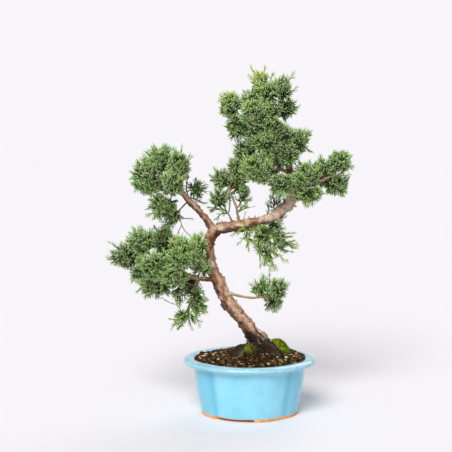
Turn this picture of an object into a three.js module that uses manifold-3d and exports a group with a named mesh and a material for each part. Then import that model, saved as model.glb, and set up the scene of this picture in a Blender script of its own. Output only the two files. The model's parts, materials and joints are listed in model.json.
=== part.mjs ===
// A kishu juniper bonsai planted in its glazed oval pot.
// Millimetres, +Z up. Everything is drawn about the middle of the pot, with the pot standing on Z = 0,
// and the last lines move the whole part so that its origin lies under the middle of its box.
import * as THREE from 'three';
import { mergeVertices } from 'three/addons/utils/BufferGeometryUtils.js';
import Module from 'manifold-3d';

const solids = await Module();
solids.setup();

// Driving dimensions

const clearance = 0.3; // air kept between one piece and the next
const cutClearance = 0.5; // the same, where a piece is cut to fit a lumpy neighbour
// The shoots' room is measured between round stretches, their flat faces need a little more
const airMargin = 1.35;

const pot = {
  sides: 32, // corners round each level, so that one falls on every crease
  crease: 2.2, // how far the four creases pull the body in
  rimCrease: 1.3,
  creaseSpread: 27, // degrees to each side over which a crease fades out
  footHeight: 3.4,
  floorTop: 7.6,
  drainRadius: 6,
  drainSpacing: 42,
  footCut: { length: 46, depth: 30, height: 2.8, x: 19, y: 40 },
};

// Half length, half width, height and crease depth of each level: under the foot, up the outside,
// over the rim and down the inside to the floor
const potLevels = [
  [41.5, 31.5, pot.footHeight, 0.8],
  [42, 32, 0, 0.8],
  [48.5, 38.5, 0, 1.4],
  [49, 39, pot.footHeight, 1.6],
  [50.6, 40.4, 6.5, pot.crease],
  [56.2, 45, 40, pot.crease],
  [57.4, 46, 48.4, pot.crease],
  [61.5, 49, 51, pot.rimCrease],
  [66.6, 53, 52.2, pot.rimCrease],
  [67.9, 54, 54.8, pot.rimCrease],
  [66.4, 52.8, 56.8, pot.rimCrease],
  [61, 48.2, 57.9, pot.rimCrease],
  [56.8, 44.6, 57.4, pot.rimCrease],
  [54.8, 43, 52.8, pot.crease],
  [47.2, 36.8, pot.floorTop + 1.6, pot.crease],
  [43, 32.6, pot.floorTop, 0.8],
];

const soil = {
  edgeHeight: 56.6, // where the soil meets the pot
  moundHeight: 10.2, // how much higher it is round the trunk
  moundMiddle: [8, -3],
  moundSpread: [31, 22],
  rings: 7,
  grain: 0.55, // height of the lumps
};

const drainMesh = { thickness: 0.9, openings: 2, opening: 6, pitch: 7.6 };

// The wood: hand-chosen stations [x, y, z, radius] along each limb, from its thick end to its thin end.
// sides is the number of flats round it and steps the number of rings along it.
const limbs = {
  trunk: {
    sides: 11, steps: 34, ridge: 0.055,
    stations: [
      [19, 3, 40, 4], [17, 1, 52, 10], [13.5, 0, 64, 12], [8.5, 0, 74, 9.4], [3.5, -0.5, 82, 7.2],
      [-2, -1, 90, 6.7], [-8, -1, 98, 6.4], [-18.6, 0, 110, 6.9], [-25.8, 1, 122, 6.5], [-31, 2, 134, 6.3],
      [-36.2, 3, 145, 5.5], [-39.4, 4, 157, 4.7], [-41, 5, 169, 4.7], [-40, 6, 179.5, 5.4],
      [-34.5, 5, 187.5, 5.6], [-24, 3, 190, 5.5], [-12, 0, 191.6, 5.8], [-1, -2, 194, 5.6],
      [11, -3, 197, 4.7], [22, -2, 201, 4.9], [34, 0, 209, 5.4], [42.4, 2, 218.8, 5.2], [43.5, 3, 233, 4],
      [39, 2, 252, 3.4], [31, 0, 273, 2.9], [23, -1, 298, 2.2], [17, 0, 315, 1.5], [14, 1, 323, 1.1],
    ],
  },
  rootRight: { sides: 7, steps: 7, ridge: 0.08,
    stations: [[13, -2, 70, 8], [20, -7, 67.5, 7.6], [26, -12, 64, 6.8], [32, -18, 58.5, 5],
      [37, -24, 51, 3]] },
  rootLeft: { sides: 7, steps: 7, ridge: 0.1,
    stations: [[8, -4, 66, 7], [-1, -8, 66.5, 7], [-8, -11, 66, 6.6], [-13, -14, 63, 5.6],
      [-17, -18, 55, 3.4]] },
  rootBack: { sides: 6, steps: 6, ridge: 0.08,
    stations: [[14, 3, 67, 7.5], [17, 11, 63.5, 6], [19, 19, 58, 4], [20, 26, 52, 2]] },
  rootBackLeft: { sides: 6, steps: 6, ridge: 0.08,
    stations: [[8, 2, 67, 7], [0, 9, 63.5, 5.4], [-8, 15, 58, 3.8], [-15, 20, 51, 2]] },
  rootFarRight: { sides: 6, steps: 6, ridge: 0.08,
    stations: [[15, 1, 67, 7.5], [24, 5, 62.5, 5.8], [32, 9, 57, 4], [38, 12, 51, 2]] },
  highLeft: { sides: 7, steps: 10, ridge: 0.05,
    stations: [[-36, 5, 186, 4], [-41, 5, 194.5, 3.7], [-47.6, 4, 203, 3.3], [-54.8, 3, 211, 3.1],
      [-62.4, 1, 218.4, 2.7], [-67, 0, 226, 2.2], [-69.5, 2, 236, 1.7], [-72, 4, 246, 1.1]] },
  highLeftOuter: { sides: 5, steps: 6, ridge: 0,
    stations: [[-63, 0.5, 221, 2], [-73, -3, 228, 1.8], [-84, -6, 233, 1.4], [-93, -9, 238, 1]] },
  highLeftBack: { sides: 5, steps: 5, ridge: 0,
    stations: [[-60, 1, 218, 1.8], [-66, 10, 222, 1.5], [-74, 20, 227, 1.1]] },
  lowLeft: { sides: 6, steps: 10, ridge: 0.04,
    stations: [[-32, 2, 138, 2.8], [-40, 1, 137.5, 2.4], [-51, 1, 138.5, 2.2], [-65, 2, 140, 2.1],
      [-78, 4, 142, 1.8], [-91, 7, 147, 1.5], [-104, 12, 153, 1.2], [-112, 16, 156, 0.9]] },
  lowLeftFront: { sides: 5, steps: 5, ridge: 0,
    stations: [[-34, 2, 143.5, 1.8], [-42, -3, 145, 1.5], [-51, -9, 148, 1.3], [-59, -15, 152, 1]] },
  lowLeftBack: { sides: 5, steps: 5, ridge: 0,
    stations: [[-57, 1.5, 139, 1.8], [-66, 11, 143, 1.5], [-75, 21, 149, 1.1]] },
  lowLeftHanging: { sides: 5, steps: 6, ridge: 0,
    stations: [[-51, 1, 138.5, 1.6], [-56, -1, 130, 1.3], [-59, 1, 120, 1.1], [-61, 4, 110, 0.9]] },
  lowRight: { sides: 6, steps: 8, ridge: 0,
    stations: [[-25, 1, 125, 2.2], [-19, -2, 123.5, 1.7], [-10, -4, 121.5, 1.3], [2, -4, 119.5, 1.3],
      [12, -3, 120, 1.1], [19, -2, 119.5, 0.9]] },
  archLeft: { sides: 5, steps: 5, ridge: 0,
    stations: [[-18, 1, 194, 1.4], [-19, 0, 199.5, 1], [-23, -2, 206, 0.9], [-28, -4, 210, 0.8]] },
  archMiddle: { sides: 5, steps: 6, ridge: 0,
    stations: [[-10, 0, 194, 1.8], [-11.5, 0, 200, 1.3], [-14, 1, 212, 1.2], [-18, 2, 222, 1.1],
      [-21, 3, 230, 0.8]] },
  hanging: { sides: 5, steps: 6, ridge: 0,
    stations: [[11, -3, 195, 1.8], [14, -6, 190, 1.3], [18, -6, 183, 1.2], [21, -3, 174, 0.9]] },
  padRight: { sides: 6, steps: 8, ridge: 0.04,
    stations: [[43, 2, 222, 3], [52, 1, 228, 2.5], [63, 0, 234, 2.1], [73, -1, 238, 1.6],
      [81, -2, 242, 1.2]] },
  padRightBack: { sides: 5, steps: 5, ridge: 0,
    stations: [[44, 3, 226, 2], [53, 10, 230, 1.6], [63, 18, 234, 1.1]] },
  crownFront: { sides: 6, steps: 6, ridge: 0,
    stations: [[42, 2.5, 240, 2.2], [35, -6, 242, 1.8], [26, -14, 244, 1.4], [18, -20, 246, 1.1]] },
  crownBack: { sides: 6, steps: 6, ridge: 0,
    stations: [[41, 2.5, 244, 2.2], [34, 11, 247, 1.8], [26, 19, 249, 1.4], [20, 26, 251, 1]] },
  crownLeft: { sides: 6, steps: 7, ridge: 0,
    stations: [[36, 1, 262, 2], [24, 2, 262, 1.7], [12, 5, 261, 1.4], [3, 8, 259, 1.1]] },
  crownRight: { sides: 5, steps: 4, ridge: 0,
    stations: [[35, 1, 264, 1.8], [41, 3, 269, 1.3], [45, 5, 273, 1]] },
  topLeft: { sides: 6, steps: 7, ridge: 0,
    stations: [[25, -0.5, 292, 1.9], [12, 0, 293, 1.6], [0, 1, 297, 1.3], [-10, 0, 303, 1]] },
  topFront: { sides: 5, steps: 5, ridge: 0,
    stations: [[28, 0, 284, 1.7], [21, -6, 288, 1.3], [14, -11, 293, 1]] },
  topBack: { sides: 5, steps: 5, ridge: 0,
    stations: [[26, 0, 286, 1.7], [21, 9, 290, 1.3], [16, 19, 294, 1]] },
  topRight: { sides: 5, steps: 5, ridge: 0,
    stations: [[20.5, -1, 305, 1.5], [26, -2, 311, 1.2], [31, -4, 319, 0.9]] },
};

const limbBulge = 0.4; // how far the middle of a limb's end stands out, as a share of its radius
const ridgeSum = 1.7; // the highest that the bark's ridges add up to

// The parts of the wood that the soil and the moss have to clear
const groundLimbs = ['trunk', 'rootRight', 'rootLeft', 'rootBack', 'rootBackLeft', 'rootFarRight'];

// Every tuft of foliage: the limb that bears it, how far along that limb its stem stands (0 to 1),
// the middle of the tuft, its half sizes along X, Y and Z, and how its shoots turn (up above 0, down below 0)
const tufts = {
  spray_high_left_1: ['highLeftOuter', 1, [-102, -12, 241], [17, 17, 21], 0.3],
  spray_high_left_2: ['highLeft', 0.9, [-89, 12, 256], [16, 16, 18], 0.5],
  spray_high_left_3: ['highLeft', 1, [-71, -2, 251], [15, 16, 18], 0.5],
  spray_high_left_4: ['highLeft', 0.7, [-54, 15, 228], [12, 11, 9], 0.2],
  spray_high_left_5: ['highLeftOuter', 0.35, [-86, -9, 214], [16, 14, 16], -0.2],
  spray_high_left_6: ['highLeft', 0.55, [-77, 2, 201], [12, 8, 14], -0.5],
  spray_high_left_7: ['highLeftBack', 1, [-83, 30, 231], [15, 16, 14], 0.3],
  spray_high_left_8: ['highLeftOuter', 0.6, [-76, -25, 236], [14, 13, 14], 0.3],
  spray_low_left_1: ['lowLeft', 1, [-126, 22, 158], [18, 16, 15], 0.2],
  spray_low_left_2: ['lowLeft', 0.8, [-108, 9, 173], [18, 16, 16], 0.5],
  spray_low_left_3: ['lowLeftBack', 0.7, [-88, 24, 172], [16, 15, 15], 0.5],
  spray_low_left_4: ['lowLeft', 0.7, [-94, -13, 152], [20, 18, 18], 0.2],
  spray_low_left_5: ['lowLeftFront', 1, [-67, -22, 166], [19, 17, 18], 0.4],
  spray_low_left_6: ['lowLeftFront', 0.35, [-52, -15, 168], [11, 12, 18], 0.5],
  spray_low_left_7: ['lowLeft', 0.6, [-95, 1, 130], [18, 15, 12], -0.2],
  spray_low_left_8: ['lowLeftHanging', 0.3, [-75, -19, 142], [17, 14, 13], 0],
  spray_low_left_9: ['lowLeftHanging', 0.5, [-54, -3, 118], [12, 12, 17], -0.3],
  spray_low_left_10: ['lowLeftHanging', 1, [-67, 7, 98], [18, 13, 12], -0.3],
  spray_low_left_11: ['lowLeftBack', 1, [-76, 36, 155], [18, 16, 15], 0.3],
  spray_low_left_12: ['lowLeftBack', 0.4, [-62, 20, 131], [14, 13, 13], -0.2],
  spray_low_right_1: ['lowRight', 0.75, [12, 3, 127], [12, 11, 10], 0.5],
  spray_low_right_2: ['lowRight', 1, [28, -5, 127], [11, 11, 12], 0.4],
  spray_low_right_3: ['lowRight', 0.85, [23, 3, 115], [12, 11, 10], -0.2],
  spray_hanging_1: ['hanging', 0.6, [32, -5, 178], [14, 12, 14], 0],
  spray_hanging_2: ['hanging', 1, [18, 4, 164], [15, 13, 15], -0.3],
  spray_hanging_3: ['hanging', 0.5, [12, -15, 184], [12, 10, 15], -0.3],
  spray_hanging_4: ['trunk', 0.632, [-1, -10, 185], [7, 7, 13], -0.4],
  spray_arch_1: ['archLeft', 1, [-30, -7, 218], [14, 11, 13], 0.4],
  spray_arch_2: ['archMiddle', 1, [-27, 5, 237], [13, 13, 12], 0.4],
  spray_arch_3: ['archMiddle', 0.8, [-13, 9, 235], [14, 13, 15], 0.4],
  spray_arch_4: ['archMiddle', 0.45, [-8, -3, 221], [7, 8, 10], 0.5],
  spray_arch_5: ['trunk', 0.715, [25, 5, 214], [9, 7, 9], 0.5],
  spray_pad_right_1: ['padRight', 0.5, [57, -9, 244], [17, 14, 14], 0.4],
  spray_pad_right_2: ['padRight', 1, [88, -8, 255], [14, 14, 14], 0.5],
  spray_pad_right_3: ['padRight', 0.85, [86, 6, 233], [16, 14, 12], 0],
  spray_pad_right_4: ['padRight', 0.45, [58, -9, 226], [17, 14, 11], -0.1],
  spray_pad_right_5: ['padRightBack', 1, [71, 23, 240], [16, 15, 14], 0.4],
  spray_crown_1: ['crownFront', 1, [9, -25, 250], [19, 16, 19], 0.4],
  spray_crown_2: ['crownFront', 0.4, [32, -19, 236], [16, 13, 14], 0],
  spray_crown_3: ['crownRight', 1, [48, 7, 276], [14, 14, 14], 0.4],
  spray_crown_4: ['crownBack', 1, [17, 29, 250], [19, 17, 18], 0.4],
  spray_crown_5: ['crownBack', 0.35, [31, 22, 261], [15, 14, 15], 0.5],
  spray_crown_6: ['crownLeft', 1, [-4, 9, 264], [13, 13, 12], 0.3],
  spray_crown_7: ['trunk', 0.905, [16, -14, 275], [16, 14, 15], 0.4],
  spray_crown_8: ['trunk', 0.93, [22, -15, 290], [14, 13, 14], 0.4],
  spray_top_1: ['trunk', 1, [11, 2, 332], [11, 12, 15], 0.6],
  spray_top_2: ['topRight', 1, [31, -7, 327], [13, 13, 15], 0.5],
  spray_top_3: ['topRight', 0.3, [36, 9, 308], [12, 13, 11], 0.4],
  spray_top_4: ['topLeft', 1, [-18, -2, 311], [14, 14, 15], 0.4],
  spray_top_5: ['topLeft', 0.6, [2, 12, 315], [14, 13, 14], 0.5],
  spray_top_6: ['topLeft', 0.7, [-10, 6, 291], [15, 12, 14], 0],
  spray_top_7: ['topFront', 1, [6, -17, 303], [18, 15, 17], 0.4],
  spray_top_8: ['topBack', 1, [16, 26, 297], [17, 15, 17], 0.4],
};

const shoot = {
  twigHalf: 0.62, // half thickness of a tuft's stem where it leaves the limb
  coreShare: 0.12, // half thickness of its core inside the tuft, as a share of the tuft's half size
  stemTipHalf: 0.7,
  branchHalf: 0.9,
  branchTipHalf: 0.55,
  pointRadius: 0.12,
  knee: 2.5, // how far a stem stands straight off its limb
  stemStep: 7.5, // distance between the stem's whorls of side shoots
  branchStep: 6, // distance between a side shoot's fingers
  lean: [-0.2, 1.2], // how much the first and the last side shoots lean along the stem
  fingerLength: [7, 12],
  fingerLean: [0.6, 1.1],
  overhang: 2.5, // how far fingers may stand out of the tuft's outline
  gap: 0.15, // air between the shoots of one tuft
  shortest: 2.6, // a finger with less room than this is left out
  leafyFrom: 0.72, // where the leafy stretch of a stem starts, as a share of the tuft's half size
  stemEnd: 0.96,
  footShare: 0.4, // the part of a shoot that may touch the shoots beside it, where they leave the same limb
  // A shoot without room tries again: how often, how much shorter each time, and how far it turns aside,
  // at first and more with each try
  stemTries: { count: 30, shorter: 0.02, aside: 0.004, turn: [0, 0.02] },
  branchTries: { count: 10, shorter: 0.05, turn: [0.15, 0.05] },
  fingerTries: { count: 16, shorter: 0.04, turn: [0.12, 0.02] },
  branchReach: [0.92, 1.06], // length of a side shoot, as a share of its room
  branchRise: 0.25, // how much of the tuft's turn each step of a side shoot takes
  fingerRise: 0.4,
  seed: 136,
};

const colours = {
  glaze: 0x8fd3ea, soil: 0x4a3426, bark: 0x8a5a44, moss: 0x7d9a2a, mesh: 0x2b2f2e, foliage: 0x4f7d48,
};

// Small helpers

function seeded(seed) {
  let state = seed >>> 0;
  return () => {
    state = (state + 0x6d2b79f5) >>> 0;
    let t = state;
    t = Math.imul(t ^ (t >>> 15), t | 1);
    t ^= t + Math.imul(t ^ (t >>> 7), t | 61);
    return ((t ^ (t >>> 14)) >>> 0) / 4294967296;
  };
}

function between(random, low, high) {
  return low + (high - low) * random();
}

function indexedGeometry(points, faces) {
  const geometry = new THREE.BufferGeometry();
  const values = points.flatMap((p) => [p.x, p.y, p.z]);
  geometry.setAttribute('position', new THREE.Float32BufferAttribute(values, 3));
  geometry.setIndex(faces.flat());
  return geometry;
}

// A closed skin over rings of equal count, with a fan to a middle point at each end
function skin(rings, firstMiddle, lastMiddle) {
  const count = rings[0].length;
  const points = [...rings.flat(), firstMiddle, lastMiddle];
  const first = points.length - 2;
  const last = points.length - 1;
  const lastRing = (rings.length - 1) * count;
  const faces = [];
  for (let k = 0; k < count; k += 1) {
    const next = (k + 1) % count;
    faces.push([first, next, k]);
    for (let r = 0; r < lastRing; r += count) {
      faces.push([r + k, r + next, r + count + next]);
      faces.push([r + k, r + count + next, r + count + k]);
    }
    faces.push([last, lastRing + k, lastRing + next]);
  }
  return indexedGeometry(points, faces);
}

function toSolid(geometry) {
  const plain = geometry.clone();
  plain.deleteAttribute('normal');
  plain.deleteAttribute('uv');
  const merged = mergeVertices(plain, 1e-4);
  return new solids.Manifold(new solids.Mesh({
    numProp: 3,
    vertProperties: new Float32Array(merged.attributes.position.array),
    triVerts: new Uint32Array(merged.index.array),
  }));
}

function toGeometry(solid) {
  const mesh = solid.getMesh();
  const geometry = new THREE.BufferGeometry();
  geometry.setAttribute('position', new THREE.BufferAttribute(new Float32Array(mesh.vertProperties), 3));
  geometry.setIndex(new THREE.BufferAttribute(new Uint32Array(mesh.triVerts), 1));
  return geometry;
}

function largestPiece(solid) {
  return solid.decompose().sort((a, b) => b.volume() - a.volume())[0];
}

function cylinder(radius, height, x, y, z) {
  const geometry = new THREE.CylinderGeometry(radius, radius, height, 20);
  geometry.rotateX(Math.PI / 2);
  geometry.translate(x, y, z);
  return toSolid(geometry);
}

function box(sizeX, sizeY, sizeZ, x, y, z) {
  const geometry = new THREE.BoxGeometry(sizeX, sizeY, sizeZ);
  geometry.translate(x, y, z);
  return toSolid(geometry);
}

// The pot

// One level of the pot: an oval whose outline is pulled in at four creases
function potRing([halfLength, halfWidth, z, crease], inset = 0) {
  return Array.from({ length: pot.sides }, (_, i) => {
    const degrees = (i * 360) / pot.sides;
    const fromCrease = Math.abs((degrees % 90) - 45);
    const pull = crease * Math.max(0, 1 - fromCrease / pot.creaseSpread) ** 1.6;
    const angle = THREE.MathUtils.degToRad(degrees);
    const x = (halfLength - inset - pull) * Math.cos(angle);
    const y = (halfWidth - inset - pull) * Math.sin(angle);
    return new THREE.Vector3(x, y, z);
  });
}

const drainPlaces = [-pot.drainSpacing / 2, pot.drainSpacing / 2];

function makePot() {
  const rings = potLevels.map((level) => potRing(level));
  const underside = new THREE.Vector3(0, 0, pot.footHeight);
  const floor = new THREE.Vector3(0, 0, pot.floorTop);
  let solid = toSolid(skin(rings, underside, floor));
  for (const x of drainPlaces) {
    solid = solid.subtract(cylinder(pot.drainRadius, 2 * pot.floorTop, x, 0, pot.floorTop / 2));
  }
  // The foot is cut away at the front left and, turned half round, at the back right
  const { length, depth, height, x, y } = pot.footCut;
  for (const side of [-1, 1]) {
    solid = solid.subtract(box(length, depth, 2 * height, side * x, side * y, 0));
  }
  return toGeometry(solid);
}

// A square of plastic mesh lies over each drain hole, under the soil
function makeDrainMesh(x) {
  const middleHeight = pot.floorTop + clearance + drainMesh.thickness / 2;
  const bar = drainMesh.pitch - drainMesh.opening;
  const bars = [];
  for (let i = 0; i <= drainMesh.openings; i += 1) {
    const offset = (i - drainMesh.openings / 2) * drainMesh.pitch;
    const length = drainMesh.openings * drainMesh.pitch + bar;
    bars.push(box(bar, length, drainMesh.thickness, x + offset, 0, middleHeight));
    bars.push(box(length, bar, drainMesh.thickness, x, offset, middleHeight));
  }
  return toGeometry(solids.Manifold.union(bars));
}

// The wood

// The middle line of a limb, smooth through its stations
function limbCurve(limb) {
  const places = limb.stations.map(([x, y, z]) => new THREE.Vector3(x, y, z));
  return new THREE.CatmullRomCurve3(places, false, 'centripetal');
}

function limbRadius(limb, t) {
  const last = limb.stations.length - 1;
  const i = Math.min(Math.floor(t * last), last - 1);
  return THREE.MathUtils.lerp(limb.stations[i][3], limb.stations[i + 1][3], t * last - i);
}

// A round limb through its stations, with ridges of bark by formula; grow thickens it all round
function limbGeometry(limb, grow = 0) {
  const curve = limbCurve(limb);
  const rings = [];
  let side = new THREE.Vector3(1, 0, 0);
  for (let s = 0; s <= limb.steps; s += 1) {
    const t = s / limb.steps;
    const middle = curve.getPoint(t);
    const heading = curve.getTangent(t);
    side = side.clone().addScaledVector(heading, -side.dot(heading)).normalize();
    const across = new THREE.Vector3().crossVectors(heading, side);
    const ring = [];
    for (let k = 0; k < limb.sides; k += 1) {
      const angle = (k * 2 * Math.PI) / limb.sides;
      const ridges = Math.sin(3 * angle + 0.45 * s) + 0.7 * Math.sin(5 * angle - 0.8 * s);
      const radius = limbRadius(limb, t) * (1 + limb.ridge * ridges) + grow;
      ring.push(middle.clone().addScaledVector(side, radius * Math.cos(angle))
        .addScaledVector(across, radius * Math.sin(angle)));
    }
    rings.push(ring);
  }
  const [before, beyond] = [0, 1].map((t) => limbBulge * limbRadius(limb, t) + grow);
  const start = curve.getPoint(0).addScaledVector(curve.getTangent(0), -before);
  const end = curve.getPoint(1).addScaledVector(curve.getTangent(1), beyond);
  return skin(rings, start, end);
}

function makeWood() {
  return toGeometry(solids.Manifold.union(Object.values(limbs).map((limb) => toSolid(limbGeometry(limb)))));
}

function groundWood(grow) {
  return solids.Manifold.union(groundLimbs.map((name) => toSolid(limbGeometry(limbs[name], grow))));
}

// The soil and the moss

function soilHeight(x, y) {
  const [middleX, middleY] = soil.moundMiddle;
  const [spreadX, spreadY] = soil.moundSpread;
  const away = ((x - middleX) / spreadX) ** 2 + ((y - middleY) / spreadY) ** 2;
  const lumps = Math.sin(0.9 * x + 1.3 * y) * Math.sin(1.1 * y - 0.7 * x + 2)
    + 0.6 * Math.sin(1.9 * x - 0.8 * y);
  return soil.edgeHeight + soil.moundHeight * Math.exp(-0.5 * away) + soil.grain * lumps;
}

// The soil fills the pot to its wall; lift raises its top, for cutting what lies on it
function soilSolid(lift = 0) {
  const wall = potLevels.slice(-3).reverse();
  const rings = wall.map((level) => potRing(level, clearance).map((p) => p.setZ(p.z + clearance)));
  const rim = rings[rings.length - 1];
  for (let r = soil.rings; r >= 1; r -= 1) {
    const share = r / soil.rings;
    rings.push(rim.map((p) => {
      const x = p.x * share;
      const y = p.y * share;
      const edge = r === soil.rings ? soil.edgeHeight - 1 : soilHeight(x, y);
      return new THREE.Vector3(x, y, edge + lift);
    }));
  }
  const bottom = new THREE.Vector3(0, 0, pot.floorTop + clearance);
  return toSolid(skin(rings, bottom, new THREE.Vector3(0, 0, soilHeight(0, 0) + lift)));
}

function makeSoil() {
  let solid = soilSolid().subtract(groundWood(cutClearance));
  const room = (drainMesh.openings + 1) * drainMesh.pitch;
  for (const x of drainPlaces) {
    solid = solid.subtract(box(room, room, 4 * drainMesh.thickness, x, 0, pot.floorTop + clearance));
  }
  return toGeometry(largestPiece(solid));
}

// A cushion of moss: a lumpy dome, tilted down to its right, that follows the soil and clears the roots
function makeMoss([x, y, z], [halfX, halfY, halfZ], tilt) {
  const dome = new THREE.SphereGeometry(1, 12, 8);
  dome.rotateX(Math.PI / 2);
  const position = dome.attributes.position;
  const p = new THREE.Vector3();
  for (let i = 0; i < position.count; i += 1) {
    p.fromBufferAttribute(position, i);
    const lumps = 1 + 0.06 * Math.sin(7 * p.x + 3 * p.z) * Math.sin(6 * p.y - 4 * p.z + 1);
    p.multiplyScalar(lumps);
    position.setXYZ(i, p.x * halfX, p.y * halfY, p.z * halfZ);
  }
  dome.rotateY(tilt);
  dome.translate(x, y, z);
  const solid = toSolid(dome).subtract(soilSolid(cutClearance)).subtract(groundWood(cutClearance));
  return toGeometry(largestPiece(solid));
}

// The foliage

// Straight stretches of wood and shoots that are already there: ends, end radii and owner
const taken = [];

// A stretch without the part nearest to the limb it stands on
function outerPart(a, b, radiusA, radiusB) {
  const share = shoot.footShare;
  return { a: a.clone().lerp(b, share), b, radiusA: THREE.MathUtils.lerp(radiusA, radiusB, share), radiusB };
}

function take(a, b, radiusA, radiusB, node, limb, parent) {
  const box = new THREE.Box3().setFromPoints([a, b]).expandByScalar(Math.max(radiusA, radiusB) + clearance);
  taken.push({ a, b, radiusA, radiusB, node, limb, parent, box, outer: outerPart(a, b, radiusA, radiusB) });
}

// The air between two tapered stretches
function airBetween(p, q) {
  const d1 = q.b.clone().sub(q.a);
  const d2 = p.b.clone().sub(p.a);
  const r = q.a.clone().sub(p.a);
  const a = d1.lengthSq();
  const e = d2.lengthSq();
  const f = d2.dot(r);
  const c = d1.dot(r);
  const b = d1.dot(d2);
  const denominator = a * e - b * b;
  let s = denominator > 1e-9 ? THREE.MathUtils.clamp((b * f - c * e) / denominator, 0, 1) : 0;
  let t = (b * s + f) / e;
  if (t < 0 || t > 1) {
    t = THREE.MathUtils.clamp(t, 0, 1);
    s = THREE.MathUtils.clamp((b * t - c) / a, 0, 1);
  }
  const near1 = q.a.clone().addScaledVector(d1, s);
  const near2 = p.a.clone().addScaledVector(d2, t);
  const radius1 = THREE.MathUtils.lerp(q.radiusA, q.radiusB, s);
  const radius2 = THREE.MathUtils.lerp(p.radiusA, p.radiusB, t);
  return near1.distanceTo(near2) - radius1 - radius2;
}

// True where a new stretch keeps clear of all that is there, apart from the limb it grows from
function isClear(a, b, radiusA, radiusB, node, parent) {
  const outer = outerPart(a, b, radiusA, radiusB);
  const room = new THREE.Box3().setFromPoints([a, b]).expandByScalar(Math.max(radiusA, radiusB) + clearance);
  return taken.every((other) => {
    if (other.limb === parent || !other.box.intersectsBox(room)) {
      return true;
    }
    if (other.node === node) {
      return airBetween(other.parent === parent ? other.outer : other, outer) > shoot.gap;
    }
    return airBetween(other, { a, b, radiusA, radiusB }) > airMargin * clearance;
  });
}

function takeLimb(name, limb) {
  const curve = limbCurve(limb);
  const swell = 1 + ridgeSum * limb.ridge;
  for (let s = 0; s < limb.steps; s += 1) {
    const [t, u] = [s / limb.steps, (s + 1) / limb.steps];
    const radii = [swell * limbRadius(limb, t), swell * limbRadius(limb, u)];
    take(curve.getPoint(t), curve.getPoint(u), ...radii, 'trunk', name, null);
  }
}

function jitter(direction, amount, random) {
  const wobble = new THREE.Vector3(random() - 0.5, random() - 0.5, random() - 0.5);
  return direction.clone().addScaledVector(wobble, 2 * amount).normalize();
}

function turnOf(tries, attempt) {
  return tries.turn[0] + tries.turn[1] * attempt;
}

function squareTo(direction) {
  const axis = Math.abs(direction.z) > 0.9 ? new THREE.Vector3(1, 0, 0) : new THREE.Vector3(0, 0, 1);
  return axis.cross(direction).normalize();
}

// Where a tuft's stem stands: just off the bark, on the side of the limb that faces the tuft
function seat(limbName, along, centre) {
  const limb = limbs[limbName];
  const curve = limbCurve(limb);
  const radius = limbRadius(limb, along);
  const tangent = curve.getTangent(along);
  const point = curve.getPoint(along);
  if (along === 1) {
    return { base: point.addScaledVector(tangent, limbBulge * radius + clearance), out: tangent };
  }
  const out = centre.clone().sub(point);
  out.addScaledVector(tangent, -out.dot(tangent)).normalize();
  return { base: point.addScaledVector(out, radius * (1 + ridgeSum * limb.ridge) + clearance), out };
}

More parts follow.
